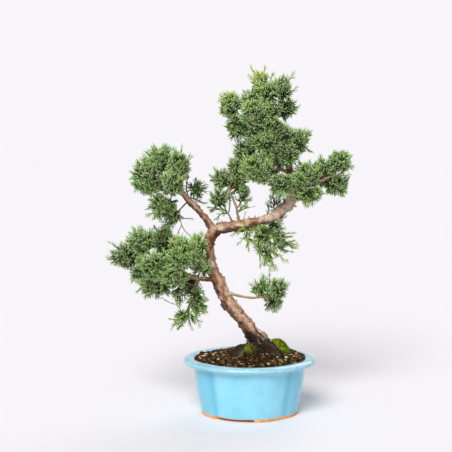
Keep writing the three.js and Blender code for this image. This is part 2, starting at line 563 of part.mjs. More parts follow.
// One tuft: a square-sectioned stem whose side faces grow side shoots, whose side faces grow pointed fingers
class Tuft {
  constructor(name, [limb, along, middle, half, rise], random) {
    this.name = name;
    this.limb = limb;
    this.along = along;
    this.centre = new THREE.Vector3(...middle);
    this.inverseHalf = new THREE.Vector3(...half.map((h) => 1 / h));
    this.rise = new THREE.Vector3(0, 0, rise);
    this.random = random;
    this.points = [];
    this.faces = [];
    this.open = [];
    this.limbCount = 0;
  }

  addPoint(p) {
    this.points.push(p);
    return this.points.length - 1;
  }

  // A square ring about a middle, with one pair of its edges along side
  addRing(middle, heading, side, half) {
    const up = new THREE.Vector3().crossVectors(heading, side);
    return [[-1, -1], [1, -1], [1, 1], [-1, 1]].map(([u, v]) => this.addPoint(
      middle.clone().addScaledVector(side, u * half).addScaledVector(up, v * half),
    ));
  }

  closeQuad([a, b, c, d]) {
    this.faces.push([a, b, c], [a, c, d]);
  }

  closeTip([a, b, c, d], tip) {
    const t = this.addPoint(tip);
    this.faces.push([a, b, t], [b, c, t], [c, d, t], [d, a, t]);
  }

  middleOf(quad) {
    return quad.reduce((sum, i) => sum.add(this.points[i]), new THREE.Vector3()).multiplyScalar(0.25);
  }

  normalOf([a, b, , d]) {
    const ab = this.points[b].clone().sub(this.points[a]);
    const ad = this.points[d].clone().sub(this.points[a]);
    return ab.cross(ad).normalize();
  }

  // How far a shoot can run from a point before it leaves the tuft
  roomAlong(from, direction) {
    const o = from.clone().sub(this.centre).multiply(this.inverseHalf);
    const d = direction.clone().multiply(this.inverseHalf);
    const half = o.dot(d);
    const inside = half * half - d.lengthSq() * (o.lengthSq() - 1);
    return inside <= 0 ? 0 : (-half + Math.sqrt(inside)) / d.lengthSq();
  }

  // The stretches that a shoot fills: one from each end of the face it grows from, then one for each step
  stretchesOf(quad, path, radii) {
    const ends = [[quad[0], quad[1]], [quad[2], quad[3]]].map(([i, j]) => {
      const [p, q] = [this.points[i], this.points[j]];
      return [p.clone().lerp(q, 0.5), path[1], p.distanceTo(q) / 2, radii[1]];
    });
    const later = path.slice(1, -1).map((p, i) => [p, path[i + 2], radii[i + 1], radii[i + 2]]);
    return [...ends, ...later];
  }

  // True where all the stretches are clear; they are then taken
  claim(stretches, limb, parent) {
    const free = stretches.every((stretch) => isClear(...stretch, this.name, parent));
    if (free) {
      stretches.forEach((stretch) => take(...stretch, this.name, limb, parent));
    }
    return free;
  }

  // Rings along a path out of a quad, the last of them closed to a point; nothing where there is no room
  growLimb(quad, path, halves, parent) {
    const radii = halves.map((half, i) => (i === halves.length - 1 ? shoot.pointRadius : half * Math.SQRT2));
    const limb = `${this.name} ${this.limbCount + 1}`;
    if (!this.claim(this.stretchesOf(quad, path, radii), limb, parent)) {
      return null;
    }
    this.limbCount += 1;
    let side = this.points[quad[1]].clone().sub(this.points[quad[0]]);
    let last = quad;
    const sides = [];
    for (let i = 1; i + 1 < path.length; i += 1) {
      const heading = path[i + 1].clone().sub(path[i - 1]).normalize();
      side = side.clone().addScaledVector(heading, -side.dot(heading)).normalize();
      const ring = this.addRing(path[i], heading, side, halves[i]);
      for (let k = 0; k < 4; k += 1) {
        const next = (k + 1) % 4;
        sides.push({ quad: [last[k], last[next], ring[next], ring[k]], along: i, face: k, heading, limb });
      }
      last = ring;
    }
    this.closeTip(last, path[path.length - 1]);
    return sides;
  }

  // The stem stands off its limb, runs bare to the tuft and then through its middle to the far edge;
  // each new attempt moves it a little and thins its core
  growStem() {
    const tries = shoot.stemTries;
    for (let attempt = 0; attempt < tries.count; attempt += 1) {
      const slack = 1 - tries.shorter * attempt;
      const aside = this.along === 1 ? 0 : tries.aside * attempt * between(this.random, -1, 1);
      const { base, out } = seat(this.limb, Math.min(this.along + aside, 1), this.centre);
      const knee = base.clone().addScaledVector(out, shoot.knee);
      const heading = jitter(this.centre.clone().sub(knee).normalize(), turnOf(tries, attempt), this.random);
      const length = shoot.stemEnd * slack * this.roomAlong(knee, heading);
      const size = 1 / heading.clone().multiply(this.inverseHalf).length();
      const bare = Math.max(0, knee.distanceTo(this.centre) - shoot.leafyFrom * size);
      const stations = Math.max(2, Math.round((length - bare) / shoot.stemStep));
      const path = [base, knee];
      const halves = [shoot.twigHalf, shoot.twigHalf];
      const core = Math.max(shoot.stemTipHalf, shoot.coreShare * size * slack);
      if (bare > shoot.knee) {
        path.push(knee.clone().addScaledVector(heading, bare));
        halves.push(shoot.twigHalf);
      }
      const firstLeafy = path.length;
      for (let i = 1; i <= stations; i += 1) {
        path.push(knee.clone().addScaledVector(heading, THREE.MathUtils.lerp(bare, length, i / stations)));
        halves.push(THREE.MathUtils.lerp(core, shoot.stemTipHalf, (i - 1) / Math.max(1, stations - 1)));
      }
      // Square to the bend at the knee, so that the rings do not twist
      const bend = out.clone().cross(heading);
      const side = bend.length() > 0.1 ? bend.normalize() : squareTo(out);
      this.points = [];
      const foot = this.addRing(base, out, side, shoot.twigHalf);
      const sides = this.growLimb(foot, path, halves, this.limb);
      if (sides) {
        this.closeQuad([...foot].reverse());
        for (const item of sides) {
          if (item.along < firstLeafy) {
            this.closeQuad(item.quad);
          } else {
            const share = (item.along - firstLeafy) / Math.max(1, stations - 2);
            this.open.push({ ...item, lean: THREE.MathUtils.lerp(...shoot.lean, share) });
          }
        }
        return;
      }
    }
    throw new Error(`no room for the stem of ${this.name}`);
  }

  // Side shoots leave the stem to all sides, out to the tuft's edge
  growBranches() {
    const waiting = this.open;
    this.open = [];
    for (const item of waiting) {
      this.open.push(...(this.tryBranch(item) || [item]));
    }
  }

  tryBranch(item) {
    const start = this.middleOf(item.quad);
    const tries = shoot.branchTries;
    for (let attempt = 0; attempt < tries.count; attempt += 1) {
      const straight = this.normalOf(item.quad).addScaledVector(item.heading, item.lean).normalize();
      let heading = jitter(straight, turnOf(tries, attempt), this.random);
      const reach = between(this.random, ...shoot.branchReach) * (1 - tries.shorter * attempt);
      const length = reach * this.roomAlong(start, heading);
      if (length > shoot.branchStep) {
        const segments = THREE.MathUtils.clamp(Math.round(length / shoot.branchStep) - 1, 1, 3);
        const path = [start];
        const halves = [shoot.branchHalf];
        for (let i = 1; i <= segments + 1; i += 1) {
          heading = heading.clone().addScaledVector(this.rise, shoot.branchRise).normalize();
          path.push(path[i - 1].clone().addScaledVector(heading, length / (segments + 1)));
          halves.push(THREE.MathUtils.lerp(shoot.branchHalf, shoot.branchTipHalf, i / (segments + 1)));
        }
        const sides = this.growLimb(item.quad, path, halves, item.limb);
        if (sides) {
          return sides;
        }
      }
    }
    return null;
  }

  // Pointed fingers stand on the side faces that are left, as long as there is room
  growFingers() {
    for (const item of this.open) {
      if (!this.tryFinger(item)) {
        this.closeQuad(item.quad);
      }
    }
  }

  tryFinger(item) {
    const base = this.middleOf(item.quad);
    const tries = shoot.fingerTries;
    for (let attempt = 0; attempt < tries.count; attempt += 1) {
      const lean = between(this.random, ...shoot.fingerLean);
      const straight = this.normalOf(item.quad).addScaledVector(item.heading, lean)
        .addScaledVector(this.rise, shoot.fingerRise);
      const heading = jitter(straight.normalize(), turnOf(tries, attempt), this.random);
      const wanted = between(this.random, ...shoot.fingerLength) * (1 - tries.shorter * attempt);
      const length = Math.min(wanted, this.roomAlong(base, heading) + shoot.overhang);
      const tip = base.clone().addScaledVector(heading, length);
      const stretches = this.stretchesOf(item.quad, [base, tip], [0, shoot.pointRadius]);
      if (length >= shoot.shortest && this.claim(stretches, null, item.limb)) {
        this.closeTip(item.quad, tip);
        return true;
      }
    }
    return false;
  }

  geometry() {
    return indexedGeometry(this.points, this.faces);
  }
}

// All stems first, then all side shoots, then the fingers, so that none is shut out by small parts
function growFoliage() {
  Object.entries(limbs).forEach(([name, limb]) => takeLimb(name, limb));
  const random = seeded(shoot.seed);
  const all = Object.entries(tufts).map(([name, tuft]) => new Tuft(name, tuft, random));
  all.forEach((tuft) => tuft.growStem());
  all.forEach((tuft) => tuft.growBranches());
  all.forEach((tuft) => tuft.growFingers());
  return all;
}

// The assembly

const group = new THREE.Group();

function addPiece(name, geometry, color, roughness) {
  const mesh = new THREE.Mesh(geometry, new THREE.MeshStandardMaterial({ color, roughness, metalness: 0 }));
  mesh.name = name;
  group.add(mesh);
}

addPiece('pot', makePot(), colours.glaze, 0.15);
addPiece('drain_mesh_left', makeDrainMesh(drainPlaces[0]), colours.mesh, 0.6);
addPiece('drain_mesh_right', makeDrainMesh(drainPlaces[1]), colours.mesh, 0.6);
addPiece('soil', makeSoil(), colours.soil, 0.95);
addPiece('moss_left', makeMoss([-0.5, -15.5, 69], [4.5, 4.6, 4.8], 0), colours.moss, 0.95);
addPiece('moss_right', makeMoss([30, -5, 67.5], [11, 9, 8], 0.7), colours.moss, 0.95);
addPiece('trunk', makeWood(), colours.bark, 0.9);
for (const tuft of growFoliage()) {
  addPiece(tuft.name, tuft.geometry(), colours.foliage, 0.7);
}

const bounds = new THREE.Box3().setFromObject(group);
const middle = bounds.getCenter(new THREE.Vector3());
group.position.set(-middle.x, -middle.y, -bounds.min.z);

export default group;
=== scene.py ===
# A kishu juniper bonsai in its glazed oval pot
import json
import math
import random

import bmesh
import bpy
from mathutils import Matrix, Vector, kdtree, noise

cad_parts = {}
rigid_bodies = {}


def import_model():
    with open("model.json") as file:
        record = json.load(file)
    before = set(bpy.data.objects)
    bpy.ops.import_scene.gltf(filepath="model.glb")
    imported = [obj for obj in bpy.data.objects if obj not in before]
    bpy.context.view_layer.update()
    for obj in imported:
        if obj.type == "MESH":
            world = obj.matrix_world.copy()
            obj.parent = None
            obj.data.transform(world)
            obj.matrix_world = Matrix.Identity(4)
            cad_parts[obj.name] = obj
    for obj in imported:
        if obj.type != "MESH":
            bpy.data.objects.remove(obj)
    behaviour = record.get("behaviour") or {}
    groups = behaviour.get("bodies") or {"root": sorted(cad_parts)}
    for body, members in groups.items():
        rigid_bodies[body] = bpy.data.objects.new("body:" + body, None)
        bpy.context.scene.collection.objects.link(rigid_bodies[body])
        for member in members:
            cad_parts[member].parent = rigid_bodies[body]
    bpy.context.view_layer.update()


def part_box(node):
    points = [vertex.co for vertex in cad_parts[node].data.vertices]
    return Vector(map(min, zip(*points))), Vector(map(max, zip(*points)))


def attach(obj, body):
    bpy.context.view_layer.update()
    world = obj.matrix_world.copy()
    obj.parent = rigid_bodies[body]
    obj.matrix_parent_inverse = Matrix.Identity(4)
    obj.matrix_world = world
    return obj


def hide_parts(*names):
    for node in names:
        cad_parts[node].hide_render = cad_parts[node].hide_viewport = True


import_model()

mm = 0.001
potLow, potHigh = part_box("pot")
potMiddle = (potLow + potHigh) / 2


def spot(x, y, z):  # millimetres about the middle of the pot, as the lists below use them
    return Vector((potMiddle.x + x * mm, potMiddle.y + y * mm, z * mm))


# Node trees

class Wire:  # wraps a socket, so that sums on sockets read as plain expressions
    def __init__(self, tree, socket=None):
        self.tree = tree
        self.socket = socket

    def node(self, kind, settings=None, values=None, output=0):
        made = self.tree.nodes.new(kind)
        for name, value in (settings or {}).items():
            if name == "stops":
                stops = made.color_ramp.elements
                while len(stops) < len(value):
                    stops.new(0.5)
                for stop, (position, colour) in zip(stops, value):
                    stop.position = position
                    stop.color = colour
            else:
                setattr(made, name, value)
        for key, value in (values or {}).items():
            if isinstance(value, Wire):
                self.tree.links.new(value.socket, made.inputs[key])
            else:
                made.inputs[key].default_value = value
        return Wire(self.tree, made.outputs[output] if made.outputs else None)

    def other(self, output):  # another output of the same node
        return Wire(self.tree, self.socket.node.outputs[output])

    def sum(self, operation, *values):
        return self.node("ShaderNodeMath", {"operation": operation}, dict(enumerate(values)))

    def __add__(self, other):
        return self.sum("ADD", self, other)

    def __radd__(self, other):
        return self.sum("ADD", other, self)

    def __sub__(self, other):
        return self.sum("SUBTRACT", self, other)

    def __rsub__(self, other):
        return self.sum("SUBTRACT", other, self)

    def __mul__(self, other):
        return self.sum("MULTIPLY", self, other)

    def __rmul__(self, other):
        return self.sum("MULTIPLY", other, self)

    def __truediv__(self, other):
        return self.sum("DIVIDE", self, other)

    def __pow__(self, other):
        return self.sum("POWER", self, other)

    def __mod__(self, other):
        return self.sum("FLOORED_MODULO", self, other)

    def step(self, low, high):  # 0 below low, 1 above high, smooth between
        return self.node("ShaderNodeMapRange", {"interpolation_type": "SMOOTHSTEP"},
                         {"Value": self, "From Min": low, "From Max": high})

    def part(self, vector, index):  # one number of a vector
        return self.node("ShaderNodeSeparateXYZ", None, {0: vector}, index)

    # For materials

    def noise(self, place, scale, detail=3.0, roughness=0.55):
        return self.node("ShaderNodeTexNoise", None,
                         {"Vector": place, "Scale": scale, "Detail": detail, "Roughness": roughness})

    def cells(self, place, scale):
        return self.node("ShaderNodeTexVoronoi", None, {"Vector": place, "Scale": scale})

    def blend(self, share, first, second):  # colours
        return self.node("ShaderNodeMix", {"data_type": "RGBA"}, {0: share, 6: first, 7: second}, 2)

    def bump(self, height, distance, strength=1.0):
        return self.node("ShaderNodeBump", None, {"Height": height, "Distance": distance, "Strength": strength})

    def attribute(self, name, output="Fac"):
        return self.node("ShaderNodeAttribute", {"attribute_name": name}, None, output)

    # For Geometry Nodes

    def named(self, name, kind="FLOAT"):
        return self.node("GeometryNodeInputNamedAttribute", {"data_type": kind}, {"Name": name})

    def store(self, geometry, name, value):
        return self.node("GeometryNodeStoreNamedAttribute", {"data_type": "FLOAT", "domain": "POINT"},
                         {"Geometry": geometry, "Name": name, "Value": value})

    def chance(self, kind, low, high, seed):  # a random value at each point
        least, most, output = {"FLOAT_VECTOR": (0, 1, 0), "FLOAT": (2, 3, 1), "INT": (4, 5, 2)}[kind]
        values = {least: low, most: high, "Seed": seed}
        return self.node("FunctionNodeRandomValue", {"data_type": kind}, values, output)

    def angles(self, value):
        return self.node("FunctionNodeEulerToRotation", None, {0: value})

    def facing(self, up, along):  # turns Z to up and X towards along
        return self.node("FunctionNodeAxesToRotation", {"primary_axis": "Z", "secondary_axis": "X"},
                         {0: up, 1: along})

    def tilt(self, turn, value):  # turns further, about the shape's own axes
        return self.node("FunctionNodeRotateRotation", {"rotation_space": "LOCAL"},
                         {0: turn, 1: self.angles(value)})

    def strew(self, points, group, kind, turn, size):  # one shape of a collection on each point
        shapes = self.node("GeometryNodeCollectionInfo", None,
                           {0: group, "Separate Children": True, "Reset Children": True})
        return self.node("GeometryNodeInstanceOnPoints", None, {
            "Points": points, "Instance": shapes, "Pick Instance": True, "Instance Index": kind,
            "Rotation": turn, "Scale": size})

    def join(self, *parts):
        made = self.node("GeometryNodeJoinGeometry")
        for part in parts:
            self.tree.links.new(part.socket, made.socket.node.inputs[0])
        return made


def tint(code):  # a colour as it is seen on a screen, "rrggbb"
    parts = [int(code[i:i + 2], 16) / 255 for i in (0, 2, 4)]
    return (*[p / 12.92 if p <= 0.04045 else ((p + 0.055) / 1.055) ** 2.4 for p in parts], 1.0)


def makeMaterial(name, finish):  # finish(wire, place) gives the values and links of the shader's sockets
    material = bpy.data.materials.new(name)
    material.use_nodes = True
    tree = material.node_tree
    tree.nodes.clear()
    wire = Wire(tree)
    place = wire.node("ShaderNodeTexCoord", None, None, "Object")
    shader = wire.node("ShaderNodeBsdfPrincipled", None, finish(wire, place))
    wire.node("ShaderNodeOutputMaterial", None, {"Surface": shader})
    return material


def startTree(name, sockets):  # a Geometry Nodes tree with its named inputs
    tree = bpy.data.node_groups.new(name, "GeometryNodeTree")
    tree.interface.new_socket("Geometry", in_out="OUTPUT", socket_type="NodeSocketGeometry")
    tree.interface.new_socket("Geometry", in_out="INPUT", socket_type="NodeSocketGeometry")
    for label, kind in sockets.items():
        tree.interface.new_socket(label, in_out="INPUT", socket_type="NodeSocket" + kind)
    entry = tree.nodes.new("NodeGroupInput")
    return Wire(tree), {socket.name: Wire(tree, socket) for socket in entry.outputs if socket.name}


def endTree(wire, geometry, material):
    realized = wire.node("GeometryNodeRealizeInstances", None, {"Geometry": geometry})
    painted = wire.node("GeometryNodeSetMaterial", None, {"Geometry": realized, "Material": material})
    wire.node("NodeGroupOutput", None, {"Geometry": painted})


def runTree(mesh, wire, values):  # puts the tree on a mesh and gives the finished plain mesh
    obj = addObject("work", mesh)
    modifier = obj.modifiers.new("grow", "NODES")
    modifier.node_group = wire.tree
    for item in wire.tree.interface.items_tree:
        if item.in_out == "INPUT" and item.name in values:
            modifier[item.identifier] = values[item.name]
    return bakeMesh(obj)


def bakeMesh(obj):  # the evaluated mesh of an object that is then removed, with its modifiers
    bpy.context.view_layer.update()
    mesh = bpy.data.meshes.new_from_object(obj.evaluated_get(bpy.context.evaluated_depsgraph_get()))
    obj.modifiers.clear()
    bpy.data.objects.remove(obj)
    return mesh


# Meshes

def meshOf(name, points, edges, faces):
    mesh = bpy.data.meshes.new(name)
    mesh.from_pydata([tuple(p) for p in points], edges, faces)
    mesh.update()
    return mesh


def meshFrom(shape, name):
    mesh = bpy.data.meshes.new(name)
    shape.to_mesh(mesh)
    shape.free()
    return mesh


def collect(name, meshes):  # the small shapes that a tree strews, in the order of their names
    group = bpy.data.collections.new(name)
    for index, mesh in enumerate(meshes):
        group.objects.link(bpy.data.objects.new(f"{name}{index}", mesh))
    return group


def addObject(name, data):
    obj = bpy.data.objects.new(name, data)
    bpy.context.scene.collection.objects.link(obj)
    return obj


def mark(mesh, name, values, kind="FLOAT"):  # an attribute with one value a point
    data = mesh.attributes.new(name, kind, "POINT").data
    if kind == "FLOAT_VECTOR":
        data.foreach_set("vector", [part for value in values for part in value])
    else:
        data.foreach_set("value", values)


def keepOnly(mesh, names):  # drops the attributes that only the node trees needed
    for attribute in list(mesh.attributes):
        if not attribute.is_required and not attribute.is_internal and attribute.name not in names:
            mesh.attributes.remove(attribute)


def finishPiece(name, mesh, material, nodes, smooth=True):
    mesh.name = name
    obj = addObject(name, mesh)
    mesh.materials.clear()
    mesh.materials.append(material)
    if smooth:
        mesh.shade_smooth()
    else:
        mesh.shade_flat()
    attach(obj, "root")
    if nodes:
        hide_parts(*nodes)


def triangles(mesh):
    return sum(len(face.vertices) - 2 for face in mesh.polygons)


def mix(pair, share):  # from the first of two numbers to the second
    return pair[0] + (pair[1] - pair[0]) * share


def smoothLine(stations, share):  # a smooth line through stations of any number of values, share from 0 to 1
    last = len(stations) - 1
    along = min(max(share, 0), 1) * last
    i = min(int(along), last - 1)
    t = along - i
    p1, p2 = stations[i], stations[i + 1]
    p0 = stations[i - 1] if i > 0 else [2 * a - b for a, b in zip(p1, p2)]
    p3 = stations[i + 2] if i + 2 <= last else [2 * b - a for a, b in zip(p1, p2)]
    gaps = [max(math.dist(a[:3], b[:3]) ** 0.5, 1e-6) for a, b in ((p0, p1), (p1, p2), (p2, p3))]
    values = []
    for a, b, c, d in zip(p0, p1, p2, p3):
        start = ((b - a) / gaps[0] - (c - a) / (gaps[0] + gaps[1]) + (c - b) / gaps[1]) * gaps[1]
        end = ((c - b) / gaps[1] - (d - b) / (gaps[1] + gaps[2]) + (d - c) / gaps[2]) * gaps[1]
        values.append(b + start * t + (-3 * b + 3 * c - 2 * start - end) * t * t
                      + (2 * b - 2 * c + start + end) * t ** 3)
    return values


# The pot

pot = {
    # Half length, half width, height and crease depth, from the middle of the underside round to the floor
    "levels": [
        [0.5, 0.4, 3.4, 0], [30, 22, 3.4, 0.3], [40.6, 30.6, 3.4, 0.8], [41.8, 31.8, 2.6, 0.8],
        [42.2, 32.2, 0.6, 0.8], [43, 33, 0, 0.9], [47.4, 37.4, 0, 1.3], [48.4, 38.4, 0.5, 1.4],
        [49, 39, 3.2, 1.6], [49.5, 39.5, 4.4, 1.8], [50.6, 40.4, 8.5, 2.2], [52.6, 42.1, 18, 2.3],
        [54.6, 43.7, 29, 2.3], [56.2, 45, 40, 2.2], [57, 45.7, 46, 2.2], [58, 46.5, 49.2, 2],
        [60.6, 48.4, 50.9, 1.5], [64, 50.9, 51.7, 1.3], [66.6, 52.8, 52.7, 1.3], [67.9, 54, 54.6, 1.3],
        [67.5, 53.7, 56, 1.3], [65.9, 52.4, 57.1, 1.3], [63.2, 50, 57.8, 1.3], [60.4, 47.8, 57.9, 1.3],
        [57.8, 45.5, 57.7, 1.3], [56.3, 44.1, 56.7, 1.6], [55.4, 43.4, 54.6, 2], [54, 42.3, 49, 2.2],
        [50.6, 39.6, 30, 2.2], [47.4, 37, 11, 2.2], [45.6, 35.2, 8, 1.5], [43, 32.6, 7.6, 0.8],
        [20, 15, 7.6, 0.2], [0.5, 0.4, 7.6, 0],
    ],
    "fineness": 4,  # steps from one of these levels to the next
    "corners": 144,
    "creaseSpread": 27.0,  # degrees to each side over which a crease fades out
    "creaseSharpness": 1.6,
    "drains": [-21, 21],
    "drainRadius": 6,
    "footCut": {"length": 46, "depth": 30, "height": 2.8, "x": 19, "y": 40, "bevel": 0.9},
    "thinAbove": 40,  # the height over which the glaze runs thin on the edges, and how much
    "thinning": 2.2,
    "glazeLine": 3.5,  # the height where the glaze ends, how far that line wanders and how soft it is
    "glazeDrift": 1.6,
    "glazeBlur": 0.35,
    "paleRim": [51, 57.6],  # the heights over which the glaze turns pale: thin glaze on the rim, with a painted highlight
    "endShadeReach": [28, 46],  # the distances from the middle over which the glaze turns deep: painted shade on the end panels
    "glaze": tint("8ad0e4"),
    "paleGlazeAndHighlight": tint("98c4ce"),
    "foamAndHighlight": tint("d3ebee"),
    "deepGlazeAndShade": tint("5fb2cd"),
    "clay": tint("e8b27c"),
    "darkClay": tint("c98a52"),
}


def glazedClay(wire, place):
    height = wire.part(place, 2)
    aside = wire.part(place, 0) - potMiddle.x
    endShade = (aside * aside).step(*[(reach * mm) ** 2 for reach in pot["endShadeReach"]])
    drift = wire.noise(place, 38, 2)
    clouds = wire.noise(place, 70, 4, 0.6)
    flecks = wire.noise(place, 900, 2, 0.5)
    line = [(pot["glazeLine"] + way * pot["glazeBlur"]) * mm for way in (-1, 1)]
    bare = 1 - (height + (drift - 0.5) * (pot["glazeDrift"] * mm)).step(*line)
    edge = height.step(*[level * mm for level in pot["paleRim"]]) * 0.75 + wire.attribute("thin") * 0.5
    glaze = wire.blend(clouds.step(0.35, 0.75) * 0.35, pot["glaze"], pot["deepGlazeAndShade"])
    # painted shade: the glaze darkens towards both end panels, the sides that turn away from the light
    glaze = wire.blend(endShade * 0.6, glaze, pot["deepGlazeAndShade"])
    glaze = wire.blend(wire.attribute("pool").step(0.5, 1.0) * 0.85, glaze, pot["deepGlazeAndShade"])
    # the pale rim is thin glaze with a painted highlight mottled into it, and the white flecks are a painted
    # highlight
    glaze = wire.blend((edge * (0.3 + clouds * 1.1)).step(0.1, 1.0), glaze, pot["paleGlazeAndHighlight"])
    glaze = wire.blend(edge * wire.noise(place, 150, 3, 0.6).step(0.5, 0.7) * 0.5, glaze, pot["foamAndHighlight"])
    clay = wire.blend(wire.noise(place, 240, 4).step(0.35, 0.7), pot["clay"], pot["darkClay"])
    clay = wire.blend(flecks.step(0.62, 0.68) * 0.6, clay, pot["darkClay"])
    waves = wire.noise(place, 90, 2) * 0.7 + flecks * bare * 0.5
    return {
        "Base Color": wire.blend(bare, glaze, clay),
        "Roughness": 0.13 + clouds * 0.1 + bare * 0.6,
        "Coat Weight": (1 - bare) * 0.6,
        "Coat Roughness": 0.06,
        "IOR": 1.5,
        "Normal": wire.bump(waves, 0.00035, 0.55),
    }


def buildPotTree():  # bends a grid round the levels of the profile
    wire, given = startTree("turnPot", {"Corners": "Int", "Crease spread": "Float", "Glaze": "Material"})
    profile = given["Geometry"]
    count = wire.node("GeometryNodeAttributeDomainSize", None, {"Geometry": profile})
    grid = wire.node("GeometryNodeMeshGrid", None,
                     {"Size X": 1, "Size Y": 1, "Vertices X": given["Corners"] + 1, "Vertices Y": count})
    at = wire.node("GeometryNodeInputPosition")
    around = wire.part(at, 0) + 0.5
    level = wire.sum("ROUND", (wire.part(at, 1) + 0.5) * (count - 1))

    def sample(name):
        return wire.node("GeometryNodeSampleIndex", {"data_type": "FLOAT", "domain": "POINT"},
                         {"Geometry": profile, "Value": wire.named(name), "Index": level})

    angle = around * (2 * math.pi)
    away = wire.sum("ABSOLUTE", (around * 360) % 90 - 45)
    fade = wire.sum("MAXIMUM", 1 - away / given["Crease spread"], 0.0) ** pot["creaseSharpness"]
    pull = sample("crease") * fade
    place = wire.node("ShaderNodeCombineXYZ", None, {
        0: (sample("halfLength") - pull) * wire.sum("COSINE", angle),
        1: (sample("halfWidth") - pull) * wire.sum("SINE", angle),
        2: sample("height"),
    })
    shaped = wire.store(wire.store(grid, "pool", fade), "thin", sample("thin"))
    shaped = wire.node("GeometryNodeSetPosition", None, {"Geometry": shaped, "Position": place})
    joined = wire.node("GeometryNodeMergeByDistance", None, {"Geometry": shaped, "Distance": 0.00001})
    endTree(wire, joined, given["Glaze"])
    return wire


def cutterMesh():  # what is taken out of the pot: the drain holes and the two openings of the foot
    shape = bmesh.new()
    radius = pot["drainRadius"] * mm
    for x in pot["drains"]:
        bmesh.ops.create_cone(shape, cap_ends=True, segments=48, radius1=radius, radius2=radius, depth=30 * mm,
                              matrix=Matrix.Translation((x * mm, 0, 5 * mm)))
    cut = pot["footCut"]
    size = Matrix.Diagonal((cut["length"] * mm, cut["depth"] * mm, 2 * cut["height"] * mm, 1))
    for side in (-1, 1):
        place = Matrix.Translation((side * cut["x"] * mm, side * cut["y"] * mm, 0))
        box = bmesh.ops.create_cube(shape, size=1, matrix=place @ size)
        edges = {edge for corner in box["verts"] for edge in corner.link_edges}
        bmesh.ops.bevel(shape, geom=list(edges), offset=cut["bevel"] * mm, segments=3, profile=0.5, affect="EDGES")
    return meshFrom(shape, "cutter")


def potProfile():  # the levels as points, with what the tree samples from them
    fine = (len(pot["levels"]) - 1) * pot["fineness"]
    levels = [smoothLine(pot["levels"], i / fine) for i in range(fine + 1)]
    for level in levels:
        level[2] = max(level[2], 0)
    levels[0][:2] = levels[-1][:2] = [0, 0]
    profile = meshOf("profile", [(0, 0, level[2] * mm) for level in levels], [], [])
    for index, name in enumerate(["halfLength", "halfWidth", "height", "crease"]):
        mark(profile, name, [level[index] * mm for level in levels])
    thin = [0.0] * len(levels)  # the glaze runs thin where the profile turns over an edge
    for i in range(1, len(levels) - 1):
        before = Vector((levels[i][0] - levels[i - 1][0], levels[i][2] - levels[i - 1][2]))
        after = Vector((levels[i + 1][0] - levels[i][0], levels[i + 1][2] - levels[i][2]))
        if before.length > 0 and after.length > 0 and levels[i][2] > pot["thinAbove"]:
            thin[i] = max(0.0, before.angle_signed(after, 0) * -pot["thinning"])
    mark(profile, "thin", thin)
    return profile


def makePot():
    clay = makeMaterial("glazed clay", glazedClay)
    mesh = runTree(potProfile(), buildPotTree(),
                   {"Corners": pot["corners"], "Crease spread": pot["creaseSpread"], "Glaze": clay})
    edit = bmesh.new()
    edit.from_mesh(mesh)
    bmesh.ops.recalc_face_normals(edit, faces=edit.faces)
    edit.to_mesh(mesh)
    edit.free()
    shell = addObject("work", mesh)
    cutter = addObject("work", cutterMesh())
    cut = shell.modifiers.new("cut", "BOOLEAN")
    cut.object = cutter
    cut.operation = "DIFFERENCE"
    cut.solver = "EXACT"
    mesh = bakeMesh(shell)
    bpy.data.objects.remove(cutter)
    mesh.transform(Matrix.Translation((potMiddle.x, potMiddle.y, 0)))
    keepOnly(mesh, ["pool", "thin"])
    finishPiece("glazed_pot", mesh, clay, ["pot"])
    print("pot:", triangles(mesh), "triangles")


makePot()


# The plastic mesh over the drain holes

drainMesh = {
    "size": 22.6,
    "spaces": 10,
    "thickness": 0.7,
    "barWidth": 0.75,
    "height": 8.25,
    "colour": tint("2c3230"),
    "worn": tint("4a524e"),
}


def blackPlastic(wire, place):
    dust = wire.noise(place, 700, 3)
    return {
        "Base Color": wire.blend(dust.step(0.4, 0.7), drainMesh["colour"], drainMesh["worn"]),
        "Roughness": 0.45 + dust * 0.3,
        "Normal": wire.bump(dust, 0.00005, 0.5),
    }


def buildBarTree():  # square bars, side by side in both directions
    wire, given = startTree("layBars", {"Size": "Float", "Spaces": "Int", "Bar width": "Float",
                                        "Thickness": "Float", "Plastic": "Material"})
    pitch = (given["Size"] - given["Bar width"]) / given["Spaces"]
    first = (given["Bar width"] - given["Size"]) / 2
    sets = []
    for direction in (0, 1):
        start = wire.node("ShaderNodeCombineXYZ", None, {direction: first})
        offset = wire.node("ShaderNodeCombineXYZ", None, {direction: pitch})
        line = wire.node("GeometryNodeMeshLine", None,
                         {"Count": given["Spaces"] + 1, "Start Location": start, "Offset": offset})
        thickness = given["Thickness"] * (1 - 0.06 * direction)  # so that crossing bars share no face
        size = wire.node("ShaderNodeCombineXYZ", None,
                         {direction: given["Bar width"], 1 - direction: given["Size"], 2: thickness})
        bar = wire.node("GeometryNodeMeshCube", None, {"Size": size})
        sets.append(wire.node("GeometryNodeInstanceOnPoints", None, {"Points": line, "Instance": bar}))
    endTree(wire, wire.join(*sets), given["Plastic"])
    return wire


def makeDrainMeshes():
    tree = buildBarTree()
    plastic = makeMaterial("black plastic", blackPlastic)
    values = {"Size": drainMesh["size"] * mm, "Spaces": drainMesh["spaces"], "Plastic": plastic,
              "Bar width": drainMesh["barWidth"] * mm, "Thickness": drainMesh["thickness"] * mm}
    for side, x in zip(("left", "right"), pot["drains"]):
        mesh = runTree(meshOf("bars", [(0, 0, 0)], [], []), tree, values)
        mesh.transform(Matrix.Translation(spot(x, 0, drainMesh["height"])))
        keepOnly(mesh, [])
        finishPiece("drain_net_" + side, mesh, plastic, ["drain_mesh_" + side], smooth=False)


makeDrainMeshes()
print("drain meshes done")
